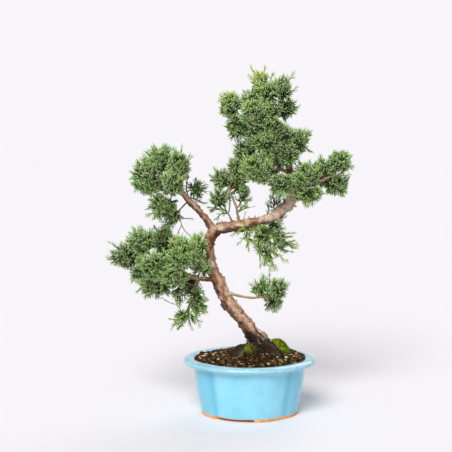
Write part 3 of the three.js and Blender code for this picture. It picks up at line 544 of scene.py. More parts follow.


# The limbs: x, y, z and radius of stations, from the thick end to the thin end

limbs = {
    "trunk": [
        [19, 3, 40, 4], [17, 1, 52, 10], [13.5, 0, 64, 12], [8.5, 0, 74, 9.4], [3.5, -0.5, 82, 7.2],
        [-2, -1, 90, 6.7], [-8, -1, 98, 6.4], [-18.6, 0, 110, 6.9], [-25.8, 1, 122, 6.5], [-31, 2, 134, 6.3],
        [-36.2, 3, 145, 5.5], [-39.4, 4, 157, 4.7], [-41, 5, 169, 4.7], [-40, 6, 179.5, 5.4],
        [-34.5, 5, 187.5, 5.6], [-24, 3, 190, 5.5], [-12, 0, 191.6, 5.8], [-1, -2, 194, 5.6],
        [11, -3, 197, 4.7], [22, -2, 201, 4.9], [34, 0, 209, 5.4], [42.4, 2, 218.8, 5.2], [43.5, 3, 233, 4],
        [39, 2, 252, 3.4], [31, 0, 273, 2.9], [23, -1, 298, 2.2], [17, 0, 315, 1.5], [14, 1, 323, 1.1],
    ],
    "rootRight": [[13, -2, 70, 8], [20, -7, 67.5, 7.6], [26, -12, 64, 6.8], [32, -18, 58.5, 5], [37, -24, 51, 3]],
    "rootLeft": [[8, -4, 66, 7], [-1, -8, 66.5, 7], [-8, -11, 66, 6.6], [-13, -14, 63, 5.6], [-17, -18, 55, 3.4]],
    "rootBack": [[14, 3, 67, 7.5], [17, 11, 63.5, 6], [19, 19, 58, 4], [20, 26, 52, 2]],
    "rootBackLeft": [[8, 2, 67, 7], [0, 9, 63.5, 5.4], [-8, 15, 58, 3.8], [-15, 20, 51, 2]],
    "rootFarRight": [[15, 1, 67, 7.5], [24, 5, 62.5, 5.8], [32, 9, 57, 4], [38, 12, 51, 2]],
    "highLeft": [
        [-36, 5, 186, 4], [-41, 5, 194.5, 3.7], [-47.6, 4, 203, 3.3], [-54.8, 3, 211, 3.1], [-62.4, 1, 218.4, 2.7],
        [-67, 0, 226, 2.2], [-69.5, 2, 236, 1.7], [-72, 4, 246, 1.1],
    ],
    "highLeftOuter": [[-63, 0.5, 221, 2], [-73, -3, 228, 1.8], [-84, -6, 233, 1.4], [-93, -9, 238, 1]],
    "highLeftBack": [[-60, 1, 218, 1.8], [-66, 10, 222, 1.5], [-74, 20, 227, 1.1]],
    "lowLeft": [
        [-32, 2, 138, 2.8], [-40, 1, 137.5, 2.4], [-51, 1, 138.5, 2.2], [-65, 2, 140, 2.1], [-78, 4, 142, 1.8],
        [-91, 7, 147, 1.5], [-104, 12, 153, 1.2], [-112, 16, 156, 0.9],
    ],
    "lowLeftFront": [[-34, 2, 143.5, 1.8], [-42, -3, 145, 1.5], [-51, -9, 148, 1.3], [-59, -15, 152, 1]],
    "lowLeftBack": [[-57, 1.5, 139, 1.8], [-66, 11, 143, 1.5], [-75, 21, 149, 1.1]],
    "lowLeftHanging": [[-51, 1, 138.5, 1.6], [-56, -1, 130, 1.3], [-59, 1, 120, 1.1], [-61, 4, 110, 0.9]],
    "lowRight": [
        [-25, 1, 125, 2.2], [-19, -2, 123.5, 1.7], [-10, -4, 121.5, 1.3], [2, -4, 119.5, 1.3], [12, -3, 120, 1.1],
        [19, -2, 119.5, 0.9],
    ],
    "archLeft": [[-18, 1, 194, 1.4], [-19, 0, 199.5, 1], [-23, -2, 206, 0.9], [-28, -4, 210, 0.8]],
    "archMiddle": [
        [-10, 0, 194, 1.8], [-11.5, 0, 200, 1.3], [-14, 1, 212, 1.2], [-18, 2, 222, 1.1], [-21, 3, 230, 0.8],
    ],
    "hanging": [[11, -3, 195, 1.8], [14, -6, 190, 1.3], [18, -6, 183, 1.2], [21, -3, 174, 0.9]],
    "padRight": [[43, 2, 222, 3], [52, 1, 228, 2.5], [63, 0, 234, 2.1], [73, -1, 238, 1.6], [81, -2, 242, 1.2]],
    "padRightBack": [[44, 3, 226, 2], [53, 10, 230, 1.6], [63, 18, 234, 1.1]],
    "crownFront": [[42, 2.5, 240, 2.2], [35, -6, 242, 1.8], [26, -14, 244, 1.4], [18, -20, 246, 1.1]],
    "crownBack": [[41, 2.5, 244, 2.2], [34, 11, 247, 1.8], [26, 19, 249, 1.4], [20, 26, 251, 1]],
    "crownLeft": [[36, 1, 262, 2], [24, 2, 262, 1.7], [12, 5, 261, 1.4], [3, 8, 259, 1.1]],
    "crownRight": [[35, 1, 264, 1.8], [41, 3, 269, 1.3], [45, 5, 273, 1]],
    "topLeft": [[25, -0.5, 292, 1.9], [12, 0, 293, 1.6], [0, 1, 297, 1.3], [-10, 0, 303, 1]],
    "topFront": [[28, 0, 284, 1.7], [21, -6, 288, 1.3], [14, -11, 293, 1]],
    "topBack": [[26, 0, 286, 1.7], [21, 9, 290, 1.3], [16, 19, 294, 1]],
    "topRight": [[20.5, -1, 305, 1.5], [26, -2, 311, 1.2], [31, -4, 319, 0.9]],
}

# Dead stubs, spurs and thin rootlets, which only the finished wood has
spurs = {
    "stubLow": [[-17.5, -1, 113, 1.5], [-14.8, -1.5, 115, 1.2], [-12.6, -2, 117.2, 0.8]],
    "stubMiddle": [[-36, 0, 148, 1.6], [-33.6, -1.5, 151, 1.1], [-32.8, -2, 153.5, 0.7]],
    "stubBend": [[-42, 4, 190, 1.6], [-44.2, 3.5, 193.5, 1], [-45.8, 3, 196.4, 0.5]],
    "spurOne": [[0, -2, 197, 1.2], [-1, -2.4, 200.6, 0.8], [-1.8, -2.6, 203, 0.4]],
    "spurTwo": [[4, -2.4, 198, 1.1], [5, -3, 201.6, 0.7], [5.4, -3.4, 204, 0.4]],
    "spurThree": [[24, -3, 203, 1.3], [22.6, -4.6, 207, 0.8], [21.6, -5.6, 209, 0.4]],
    "spurFour": [[-26, 1, 193, 1], [-27.6, -0.4, 196.6, 0.6], [-28.2, -1, 198.4, 0.35]],
    "spurKnee": [[41, 2, 213, 1.6], [44.6, 0.6, 211.6, 1.1], [47.4, -0.4, 211.8, 0.6]],
    "spurBack": [[-36, 7, 152, 1.2], [-36.6, 10.6, 154.6, 0.9], [-36.4, 13, 157, 0.5]],
    "rootletOne": [[2, -14, 64, 2.2], [4, -19, 61, 1.6], [9, -24, 58.6, 1.1], [14, -28, 56, 0.7]],
    "rootletTwo": [[-10, -8, 67, 1.8], [-17, -7, 64, 1.4], [-24, -9, 60, 1], [-30, -10, 56, 0.7]],
}

wood = {
    "sides": [24, 12],  # corners round a thick and a thin limb
    "thickLimb": 3.5,
    "ringStep": 1.6,
    "voxel": 0.66,
    "stretch": 0.26,  # how long the bark's pattern runs along the wood, 1 for no longer than across
    "patternShift": 0.037,  # metres along the pattern from one limb to the next
    "ridge": 0.8,  # heights of the bark's plates, lumps and knobs on thick wood, and their sizes
    "lump": 1.1,
    "knob": 1.5,
    "plateSize": [2.9, 1.3],
    "lumpSize": [7, 5.5],
    "knobSize": 3.4,
    "patchSize": 6,
    "fullRadius": 5,  # radius of the wood from which the relief has its full height
    "thickRadius": 10,  # and from which it counts as thickest for the flakes and the colours
    "rootHeights": [72, 88],  # the relief is stronger below the upper of these and strongest below the lower
    "dampHeights": [74, 92],  # and the bark is dark and green in the same way
    "flakesPerArea": 56000.0,  # loose flakes to a square metre on the thickest wood
    "flakeSize": [1.4, 4.2],
    "seed": 5,
    # Where red bark shows, and where the bark is painted paler as painted light on the lit bend: x, y, z and
    # radius
    "redPlaces": [[-37, -2, 183, 15], [-35, 0, 138, 11], [33, -4, 212, 8], [-15, -1, 193, 13], [4, -4, 197, 10]],
    "paintedLightPlaces": [[41, 0, 214, 17], [22, -4, 202, 10]],
    "tan": tint("c4a58c"),
    "rose": tint("94664d"),
    "fissure": tint("2a1810"),
    "cream": tint("e2cdb5"),
    "orange": tint("965632"),
    "oldBarkAndShade": tint("422a1a"),
    "young": tint("93795a"),
    "wet": tint("0a0702"),
    "algae": tint("57512f"),
}


def limbLine(stations):  # places, headings, a side and the distance run at close steps along a limb
    length = sum(math.dist(a[:3], b[:3]) for a, b in zip(stations, stations[1:]))
    count = max(4, round(length / wood["ringStep"]))
    rows = [smoothLine(stations, i / count) for i in range(count + 1)]
    places = [spot(*row[:3]) for row in rows]
    side = Vector((1, 0, 0))
    line = []
    run = 0.0
    for i, row in enumerate(rows):
        heading = (places[min(i + 1, count)] - places[max(i - 1, 0)]).normalized()
        side = (side - heading * side.dot(heading)).normalized()
        run += (places[i] - places[i - 1]).length if i else 0
        line.append({"place": places[i], "heading": heading, "side": side.copy(), "across": heading.cross(side),
                     "run": run, "radius": row[3] * mm})
    return line


def addTube(line, sides, points, faces):
    first = len(points)
    for stop in line:
        for k in range(sides):
            angle = 2 * math.pi * k / sides
            away = stop["side"] * math.cos(angle) + stop["across"] * math.sin(angle)
            points.append(stop["place"] + stop["radius"] * away)
    last = len(points) - sides
    for ring in range(first, last, sides):
        for k in range(sides):
            n = (k + 1) % sides
            faces.append((ring + k, ring + n, ring + sides + n, ring + sides + k))
    for stop, ring, way in ((line[0], first, -1), (line[-1], last, 1)):  # a low cone closes each end
        points.append(stop["place"] + stop["heading"] * stop["radius"] * (way * 0.5))
        for k in range(sides):
            faces.append((*(ring + k, ring + (k + 1) % sides)[::way], len(points) - 1))


woodLines = {name: limbLine(stations) for name, stations in {**limbs, **spurs}.items()}


def roughBark(wire, place):
    grain = wire.attribute("bark", "Vector")
    thick = wire.attribute("thick")
    loose = wire.attribute("loose")
    strips = wire.noise(grain, 640, 5, 0.65)
    plates = wire.noise(grain, 230, 4, 0.6)
    patches = wire.noise(grain, 105, 2, 0.5)
    specks = wire.noise(place, 1500, 3, 0.6)
    # painted shade: a patchy mask of the wood's downward-facing side
    under = (wire.attribute("under") + (patches - 0.5) * 0.6).step(0.38, 0.85)
    # the low places of the relief are dark: the fissures' own dark bark, with painted shade in them
    crackShade = 1 - wire.attribute("relief").step(0.05, 0.4)
    height = wire.part(place, 2) + (plates - 0.5) * 0.03 + (patches - 0.5) * 0.02
    low = 1 - height.step(*[level * mm for level in wood["dampHeights"]])
    damp = wire.blend(plates.step(0.46, 0.62) * patches.step(0.4, 0.6), wood["wet"], wood["algae"])
    colour = wire.blend(plates.step(0.38, 0.6), wood["rose"], wood["tan"])
    for share, layer in (
        (patches.step(0.54, 0.64) * 0.8, wood["cream"]),
        ((1 - patches).step(0.6, 0.7) * 0.75 + loose * 0.3, wood["orange"]),
        # painted light: bark facing up turns lighter
        ((1 - under) * patches.step(0.4, 0.6) * 0.15, wood["cream"]),
        (wire.attribute("red").step(0.0, 0.6) * 0.6, wood["orange"]),
        # painted shade on the underside, with old bark
        (under * 0.8, wood["oldBarkAndShade"]),
        # painted light: the bark at the lit bend is painted paler
        (wire.attribute("pale").step(0.0, 0.5) * 0.6, wood["cream"]),
        ((1 - strips).step(0.54, 0.66) * 0.65, wood["fissure"]),
        (crackShade * thick.step(0.1, 0.35) * (1 - loose) * 0.75, wood["fissure"]),
        ((1 - thick.step(0.12, 0.3)) * 0.65, wood["young"]),
        (low * 0.94, damp),
        (specks.step(0.55, 0.8) * 0.3, wood["fissure"]),
    ):
        colour = wire.blend(share, colour, layer)
    return {
        "Base Color": colour,
        "Roughness": 0.72 + strips * 0.25,
        "Specular IOR Level": 0.2,
        "Normal": wire.bump(strips * 0.7 + plates * 0.6 + specks * 0.25, 0.0006, 0.8),
    }


def flakeShapes():  # thin curled scales of bark, lying along X, one unit long
    meshes = []
    for width, curl, lift in [(0.42, 0.1, 0.2), (0.3, 0.14, 0.3), (0.55, 0.08, 0.16)]:
        points = []
        for top in (0, 1):
            for i, taper in enumerate((0.55, 1, 0.85, 0.35)):
                x = i / 3 - 0.5
                z = -0.06 + 0.09 * top + lift * (i / 3) ** 2 - curl * abs(x)
                points += [(x, side * width * taper / 2, z) for side in (-1, 1)]
        faces = []
        for a in (0, 2, 4):
            faces += [(a, a + 2, a + 3, a + 1), (a + 8, a + 9, a + 11, a + 10),
                      (a, a + 8, a + 10, a + 2), (a + 1, a + 3, a + 11, a + 9)]
        faces += [(0, 1, 9, 8), (6, 14, 15, 7)]
        mesh = meshOf("flake", points, [], faces)
        mark(mesh, "loose", [1.0] * len(points))
        meshes.append(mesh)
    return collect("flake", meshes)


def buildFlakeTree():
    wire, given = startTree("strewFlakes", {"Flakes": "Collection", "Kinds": "Int", "Density": "Float",
                                            "Least size": "Float", "Most size": "Float", "Seed": "Int",
                                            "Bark": "Material"})
    seed = given["Seed"]
    factor = wire.named("thick").step(0.18, 0.6) + wire.named("red").step(0.0, 0.5) * 1.5
    points = wire.node("GeometryNodeDistributePointsOnFaces", None, {
        "Mesh": given["Geometry"], "Density": given["Density"] * factor, "Seed": seed})
    wobble = wire.chance("FLOAT_VECTOR", (-0.25, -0.3, -0.45), (0.25, 0.3, 0.45), seed + 1)
    turn = wire.tilt(wire.facing(points.other("Normal"), wire.named("heading", "FLOAT_VECTOR")), wobble)
    size = wire.chance("FLOAT", given["Least size"], given["Most size"], seed + 2)
    kind = wire.chance("INT", 0, given["Kinds"] - 1, seed + 3)
    flakes = wire.strew(points, given["Flakes"], kind, turn, size)
    endTree(wire, wire.join(flakes, given["Geometry"]), given["Bark"])
    return wire


def nearness(place, circles):  # 1 in the middle of the nearest circle, 0 at its edge
    return max(1 - (place - spot(x, y, z)).length / (radius * mm) for x, y, z, radius in circles)


def meltLimbs():  # all the limbs in one skin
    points, faces = [], []
    for line in woodLines.values():
        thick = line[0]["radius"] > wood["thickLimb"] * mm
        addTube(line, wood["sides"][0 if thick else 1], points, faces)
    work = addObject("work", meshOf("limbs", points, [], faces))
    melt = work.modifiers.new("melt", "REMESH")
    melt.mode = "VOXEL"
    melt.voxel_size = wood["voxel"] * mm
    soften = work.modifiers.new("soften", "SMOOTH")
    soften.factor = 0.5
    soften.iterations = 3
    return bakeMesh(work)


def carveBark(mesh):  # raises plates, lumps and knobs, and marks what the flakes and the colours read
    stops = []
    for index, line in enumerate(woodLines.values()):
        stops += [(stop, wood["patternShift"] * index) for stop in line]
    tree = kdtree.KDTree(len(stops))
    for index, (stop, _) in enumerate(stops):
        tree.insert(stop["place"], index)
    tree.balance()
    ending, beginning = wood["rootHeights"]
    coarse, fine = [size * mm for size in wood["plateSize"]]
    broad, long = [size * mm for size in wood["lumpSize"]]
    marks = {name: [] for name in ("bark", "thick", "relief", "under", "red", "pale", "heading")}
    moved = []
    mesh.update()
    for corner in mesh.vertices:
        place = corner.co
        near = tree.find_n(place, 8)
        stop, shift = stops[min(near, key=lambda item: item[2] - stops[item[1]][0]["radius"])[1]]
        away = place - stop["place"]
        along = stop["run"] + away.dot(stop["heading"]) + shift
        grain = Vector((away.dot(stop["side"]), away.dot(stop["across"]), along * wood["stretch"]))
        size = min(1.0, stop["radius"] / (wood["fullRadius"] * mm))
        low = max(0.0, min(1.0, (beginning - place.z / mm) / (beginning - ending)))
        plates = abs(noise.noise(grain / coarse)) + 0.5 * abs(noise.noise(grain / fine))
        relief = min(1.0, 3.2 * plates)
        lumps = noise.noise(place / broad) + 0.6 * noise.noise(grain / long)
        knobs = noise.noise(place / (wood["knobSize"] * mm) + Vector((5, 2, 8)))
        rise = wood["ridge"] * (relief - 0.6) * size * (1 + 0.5 * low)
        rise += wood["lump"] * lumps * size * (1 + 0.8 * low)
        rise += wood["knob"] * knobs * size
        moved.append(place + corner.normal * rise * mm)
        patchy = noise.noise(place / (wood["patchSize"] * mm) + Vector((1, 7, 3)))
        marks["bark"].append(grain)
        marks["heading"].append(stop["heading"])
        marks["thick"].append(min(1.0, stop["radius"] / (wood["thickRadius"] * mm)))
        marks["relief"].append(relief)
        # the downward-facing side, for the painted shade on the bark
        marks["under"].append(0.5 - 0.7 * corner.normal.z + 0.5 * patchy)
        marks["red"].append(nearness(place, wood["redPlaces"]) + patchy)
        marks["pale"].append(nearness(place, wood["paintedLightPlaces"]) + patchy * 0.5)
    for corner, place in zip(mesh.vertices, moved):
        corner.co = place
    for name, values in marks.items():
        mark(mesh, name, values, "FLOAT_VECTOR" if name in ("bark", "heading") else "FLOAT")


def makeWood():
    mesh = meltLimbs()
    carveBark(mesh)
    bark = makeMaterial("juniper bark", roughBark)
    flakes = flakeShapes()
    mesh = runTree(mesh, buildFlakeTree(), {
        "Flakes": flakes, "Kinds": len(flakes.objects), "Bark": bark, "Density": wood["flakesPerArea"],
        "Least size": wood["flakeSize"][0] * mm, "Most size": wood["flakeSize"][1] * mm, "Seed": wood["seed"]})
    keepOnly(mesh, ["bark", "thick", "relief", "under", "red", "pale", "loose"])
    finishPiece("bark_and_wood", mesh, bark, ["trunk"])
    print("wood:", triangles(mesh), "triangles")


makeWood()


# The soil

soil = {
    "edge": 56.0,  # its height at the rim, and how much higher the mound is
    "mound": 10.2,
    "middle": [8, -3],
    "spread": [31, 22],
    "lumps": [[4.5, 0.8, 0], [11, 1.1, 9]],  # size, height and layer of the noise
    # Half length, half width, height and crease depth inside the pot, and the same without a height at the rim
    "walls": [[43.2, 32.8, 8, 0.8], [46.8, 36.4, 9.6, 2.2], [50, 39.1, 30, 2.2], [53.4, 41.8, 50, 2.2]],
    "rim": [55.3, 43.4, 2.1],
    "rings": 46,
    "corners": 128,
    "grainsPerArea": 400000.0,
    "grainSize": [1.1, 4.6],
    "grainGap": 1.2,
    "seed": 3,
    "stoneKinds": 5,
    "stoneSeed": 21,
    "hollow": tint("1f140d"),
    "shades": [
        (0.0, tint("1d130b")), (0.3, tint("322313")), (0.5, tint("4b381f")), (0.7, tint("6d562f")),
        (0.86, tint("8c6d40")), (0.925, tint("6b3420")), (0.95, tint("a48858")), (0.98, tint("d6c69c")),
        (1.0, tint("f8f2e0")),
    ],
    "chipSeed": 8,
    "chipLift": 0.35,
    # x, y, size and shade of the larger chips
    "chips": [
        [-8.7, -5, 2.6, 0.99], [-4.2, -10.5, 2, 1], [-24.9, 3, 3, 0.9], [-21.5, 0.5, 2.4, 0.97],
        [4.5, -13, 2.2, 0.93], [13, -19, 2.6, 0.975], [17, -14, 2.2, 0.99], [-36.8, -27, 2.1, 0.98],
        [16.6, -36, 2, 0.98], [35, -24, 4, 0.96], [38.5, -17, 4.2, 0.955], [42, -9, 4.4, 0.98],
        [46.5, -4, 3.6, 0.86], [45, -15, 3.4, 0.84], [30, -28, 3.2, 0.95], [-33, 8, 2.4, 0.9],
        [-41, -2, 2.2, 0.95], [24, 24, 2.6, 0.9], [-12, 28, 2.4, 0.97], [-30, 22, 2.2, 0.85],
        [36, 18, 2.6, 0.97], [6, 34, 2.2, 0.98], [-46, 6, 2, 0.98], [-18, -27, 2.2, 0.9], [1, -29, 2, 0.86],
        [-27, -17, 2.2, 0.93], [-14, -21, 1.9, 0.97],
    ],
}


def soilTop(x, y):
    away = sum(((a - b) / c) ** 2 for a, b, c in zip((x, y), soil["middle"], soil["spread"]))
    lumps = sum(noise.noise(Vector((x, y, layer)) / size) * height for size, height, layer in soil["lumps"])
    return soil["edge"] + soil["mound"] * math.exp(-0.5 * away) + lumps


def potOutline(angle, halfLength, halfWidth, crease):  # the same creases as on the pot
    away = abs(math.degrees(angle) % 90 - 45)
    pull = crease * max(0.0, 1 - away / pot["creaseSpread"]) ** pot["creaseSharpness"]
    return (halfLength - pull) * math.cos(angle), (halfWidth - pull) * math.sin(angle)


def graniteGrains(wire, place):
    rough = wire.noise(place, 1300, 4, 0.65)
    colour = wire.node("ShaderNodeValToRGB", {"stops": soil["shades"]}, {"Fac": wire.attribute("grain")})
    return {
        "Base Color": wire.blend(rough.step(0.35, 0.75) * 0.55, colour, soil["hollow"]),
        "Roughness": 0.8 + rough * 0.18,
        "Specular IOR Level": 0.12,
        "Normal": wire.bump(rough, 0.0003, 0.9),
    }


def stoneShapes():  # worn stones, one unit across
    dice = random.Random(soil["stoneSeed"])
    meshes = []
    for _ in range(soil["stoneKinds"]):
        shape = bmesh.new()
        bmesh.ops.create_icosphere(shape, subdivisions=1, radius=0.5)
        for corner in shape.verts:
            corner.co *= dice.uniform(0.78, 1.22)
            corner.co.z *= 0.8
            corner.co.x *= 1.15
        meshes.append(meshFrom(shape, "stone"))
    return collect("stone", meshes)


def buildGrainTree():
    wire, given = startTree("strewGrains", {"Grains": "Collection", "Kinds": "Int", "Density": "Float",
                                            "Gap": "Float", "Least size": "Float", "Most size": "Float",
                                            "Seed": "Int", "Soil": "Material"})
    seed = given["Seed"]
    points = wire.node("GeometryNodeDistributePointsOnFaces", {"distribute_method": "POISSON"}, {
        "Mesh": given["Geometry"], "Distance Min": given["Gap"], "Density Max": given["Density"],
        "Density Factor": wire.named("top"), "Seed": seed})
    turn = wire.angles(wire.chance("FLOAT_VECTOR", (-0.7, -0.7, 0.0), (0.7, 0.7, 6.28), seed + 1))
    size = wire.chance("FLOAT", 0.0, 1.0, seed + 2) ** 1.7  # most grains are small
    size = given["Least size"] + size * (given["Most size"] - given["Least size"])
    kind = wire.chance("INT", 0, given["Kinds"] - 1, seed + 3)
    painted = wire.store(points, "grain", wire.chance("FLOAT", 0.0, 1.0, seed + 4) ** 1.25)
    grains = wire.strew(painted, given["Grains"], kind, turn, size)
    endTree(wire, wire.join(grains, given["Geometry"]), given["Soil"])
    return wire


def makeSoil():
    corners, rings, walls = soil["corners"], soil["rings"], soil["walls"]
    angles = [2 * math.pi * k / corners for k in range(corners)]
    points = [spot(*potOutline(angle, halfLength, halfWidth, crease), z)
              for halfLength, halfWidth, z, crease in walls for angle in angles]
    for r in range(rings, 0, -1):
        for angle in angles:
            x, y = (reach * r / rings for reach in potOutline(angle, *soil["rim"]))
            points.append(spot(x, y, soilTop(x, y)))
    loops = len(walls) + rings
    points += [spot(0, 0, walls[0][2]), spot(0, 0, soilTop(0, 0))]
    faces = []
    for k in range(corners):
        n = (k + 1) % corners
        last = (loops - 1) * corners
        faces += [(n, k, len(points) - 2), (last + k, last + n, len(points) - 1)]
        for a in range(0, last, corners):
            faces.append((a + k, a + n, a + corners + n, a + corners + k))
    tops = [0.0] * (len(walls) * corners) + [1.0] * (rings * corners) + [0.0, 1.0]
    shades = [0.1] * len(points)
    stones = stoneShapes()
    kinds = [obj.data for obj in stones.objects]
    dice = random.Random(soil["chipSeed"])
    for x, y, size, shade in soil["chips"]:
        turn = Matrix.Rotation(dice.uniform(0, 6.28), 4, "Z") @ Matrix.Rotation(dice.uniform(-0.4, 0.4), 4, "X")
        scale = Matrix.Diagonal((size * mm, size * mm * 0.8, size * mm * 0.7, 1))
        place = Matrix.Translation(spot(x, y, soilTop(x, y) + soil["chipLift"])) @ turn @ scale
        kind = dice.choice(kinds)
        first = len(points)
        points += [place @ corner.co for corner in kind.vertices]
        faces += [tuple(first + i for i in face.vertices) for face in kind.polygons]
        tops += [0.0] * len(kind.vertices)
        shades += [shade] * len(kind.vertices)
    mesh = meshOf("ground", points, [], faces)
    mark(mesh, "top", tops)
    mark(mesh, "grain", shades)
    granite = makeMaterial("bonsai soil", graniteGrains)
    mesh = runTree(mesh, buildGrainTree(), {
        "Grains": stones, "Kinds": len(kinds), "Soil": granite, "Density": soil["grainsPerArea"],
        "Gap": soil["grainGap"] * mm, "Least size": soil["grainSize"][0] * mm,
        "Most size": soil["grainSize"][1] * mm, "Seed": soil["seed"]})
    keepOnly(mesh, ["grain"])
    finishPiece("soil_grains", mesh, granite, ["soil"], smooth=False)
    print("soil:", triangles(mesh), "triangles")


makeSoil()


# The moss

moss = {
    "cushions": {
        "left": {"middle": [-0.5, -15.5, 69], "halves": [4.5, 4.6, 4.8], "tilt": 0.0, "dry": 0.8},
        "right": {"middle": [30, -5, 67.5], "halves": [11, 9, 8], "tilt": 0.7, "dry": 0.35},
    },
    "leavesPerArea": 2600000.0,
    "leafLength": [0.8, 1.9],
    "sunk": 1.2,  # how far the cushions reach into the soil
    "seed": 12,
    "dark": tint("46560f"),
    "green": tint("93ab24"),
    "bright": tint("c8d64c"),
    "brown": tint("5c4526"),
}


def mossGreen(wire, place):
    patches = wire.noise(place, 260, 3, 0.6)
    dry = wire.noise(place, 330, 3, 0.6).step(0.42, 0.6) * wire.attribute("dry")
    colour = wire.blend(patches.step(0.38, 0.66), moss["dark"], moss["green"])
    colour = wire.blend((wire.attribute("tip") * (0.35 + patches)).step(0.25, 0.95), colour, moss["bright"])
    return {
        "Base Color": wire.blend(dry, colour, moss["brown"]),
        "Roughness": 0.75 + patches * 0.2,
        "Specular IOR Level": 0.12,
        "Normal": wire.bump(wire.noise(place, 1500, 3), 0.0004, 0.8),
    }


def leafShape():  # a moss leaf: a slim spike, one unit long
    points = [(0.16, 0, 0), (-0.08, 0.14, 0), (-0.08, -0.14, 0),
              (0.12, 0.02, 0.6), (0.02, 0.1, 0.55), (0.02, -0.08, 0.55), (0.16, 0, 1)]
    faces = [(2, 1, 0), (0, 1, 4, 3), (1, 2, 5, 4), (2, 0, 3, 5), (3, 4, 6), (4, 5, 6), (5, 3, 6)]
    mesh = meshOf("mossLeaf", points, [], faces)
    mark(mesh, "tip", [0, 0, 0, 0.6, 0.6, 0.6, 1.0])
    return bpy.data.objects.new("mossLeaf", mesh)


def buildMossTree():
    wire, given = startTree("growMoss", {"Leaf": "Object", "Density": "Float", "Least length": "Float",
                                         "Most length": "Float", "Seed": "Int", "Moss": "Material"})
    seed = given["Seed"]
    points = wire.node("GeometryNodeDistributePointsOnFaces", None,
                       {"Mesh": given["Geometry"], "Density": given["Density"], "Seed": seed})
    lean = wire.chance("FLOAT_VECTOR", (-0.7, -0.7, -3.1), (0.7, 0.7, 3.1), seed + 1)
    size = wire.chance("FLOAT", given["Least length"], given["Most length"], seed + 2)
    shape = wire.node("GeometryNodeObjectInfo", None, {0: given["Leaf"], 1: True}, "Geometry")
    leaves = wire.node("GeometryNodeInstanceOnPoints", None, {
        "Points": points, "Instance": shape, "Rotation": wire.tilt(points.other("Rotation"), lean), "Scale": size})
    endTree(wire, wire.join(leaves, given["Geometry"]), given["Moss"])
    return wire


def makeMoss():
    tree = buildMossTree()
    finish = makeMaterial("moss", mossGreen)
    values = {"Leaf": leafShape(), "Moss": finish, "Density": moss["leavesPerArea"], "Seed": moss["seed"],
              "Least length": moss["leafLength"][0] * mm, "Most length": moss["leafLength"][1] * mm}
    for side, cushion in moss["cushions"].items():
        shape = bmesh.new()
        bmesh.ops.create_icosphere(shape, subdivisions=4, radius=1)
        turn = Matrix.Rotation(cushion["tilt"], 3, "Y")
        for corner in shape.verts:
            p = corner.co.copy()
            p *= 1 + 0.09 * noise.noise(p * 2.1 + Vector((3, 1, cushion["tilt"]))) + 0.05 * noise.noise(p * 5)
            p = turn @ Vector([a * b for a, b in zip(p, cushion["halves"])])
            x, y, z = (p[i] + cushion["middle"][i] for i in range(3))
            corner.co = spot(x, y, max(z, soilTop(x, y) - moss["sunk"]))
        mesh = runTree(meshFrom(shape, "cushion"), tree, values)
        mark(mesh, "dry", [cushion["dry"]] * len(mesh.vertices))
        keepOnly(mesh, ["tip", "dry"])
        finishPiece("moss_cushion_" + side, mesh, finish, ["moss_" + side])
        print("moss", side + ":", triangles(mesh), "triangles")


makeMoss()
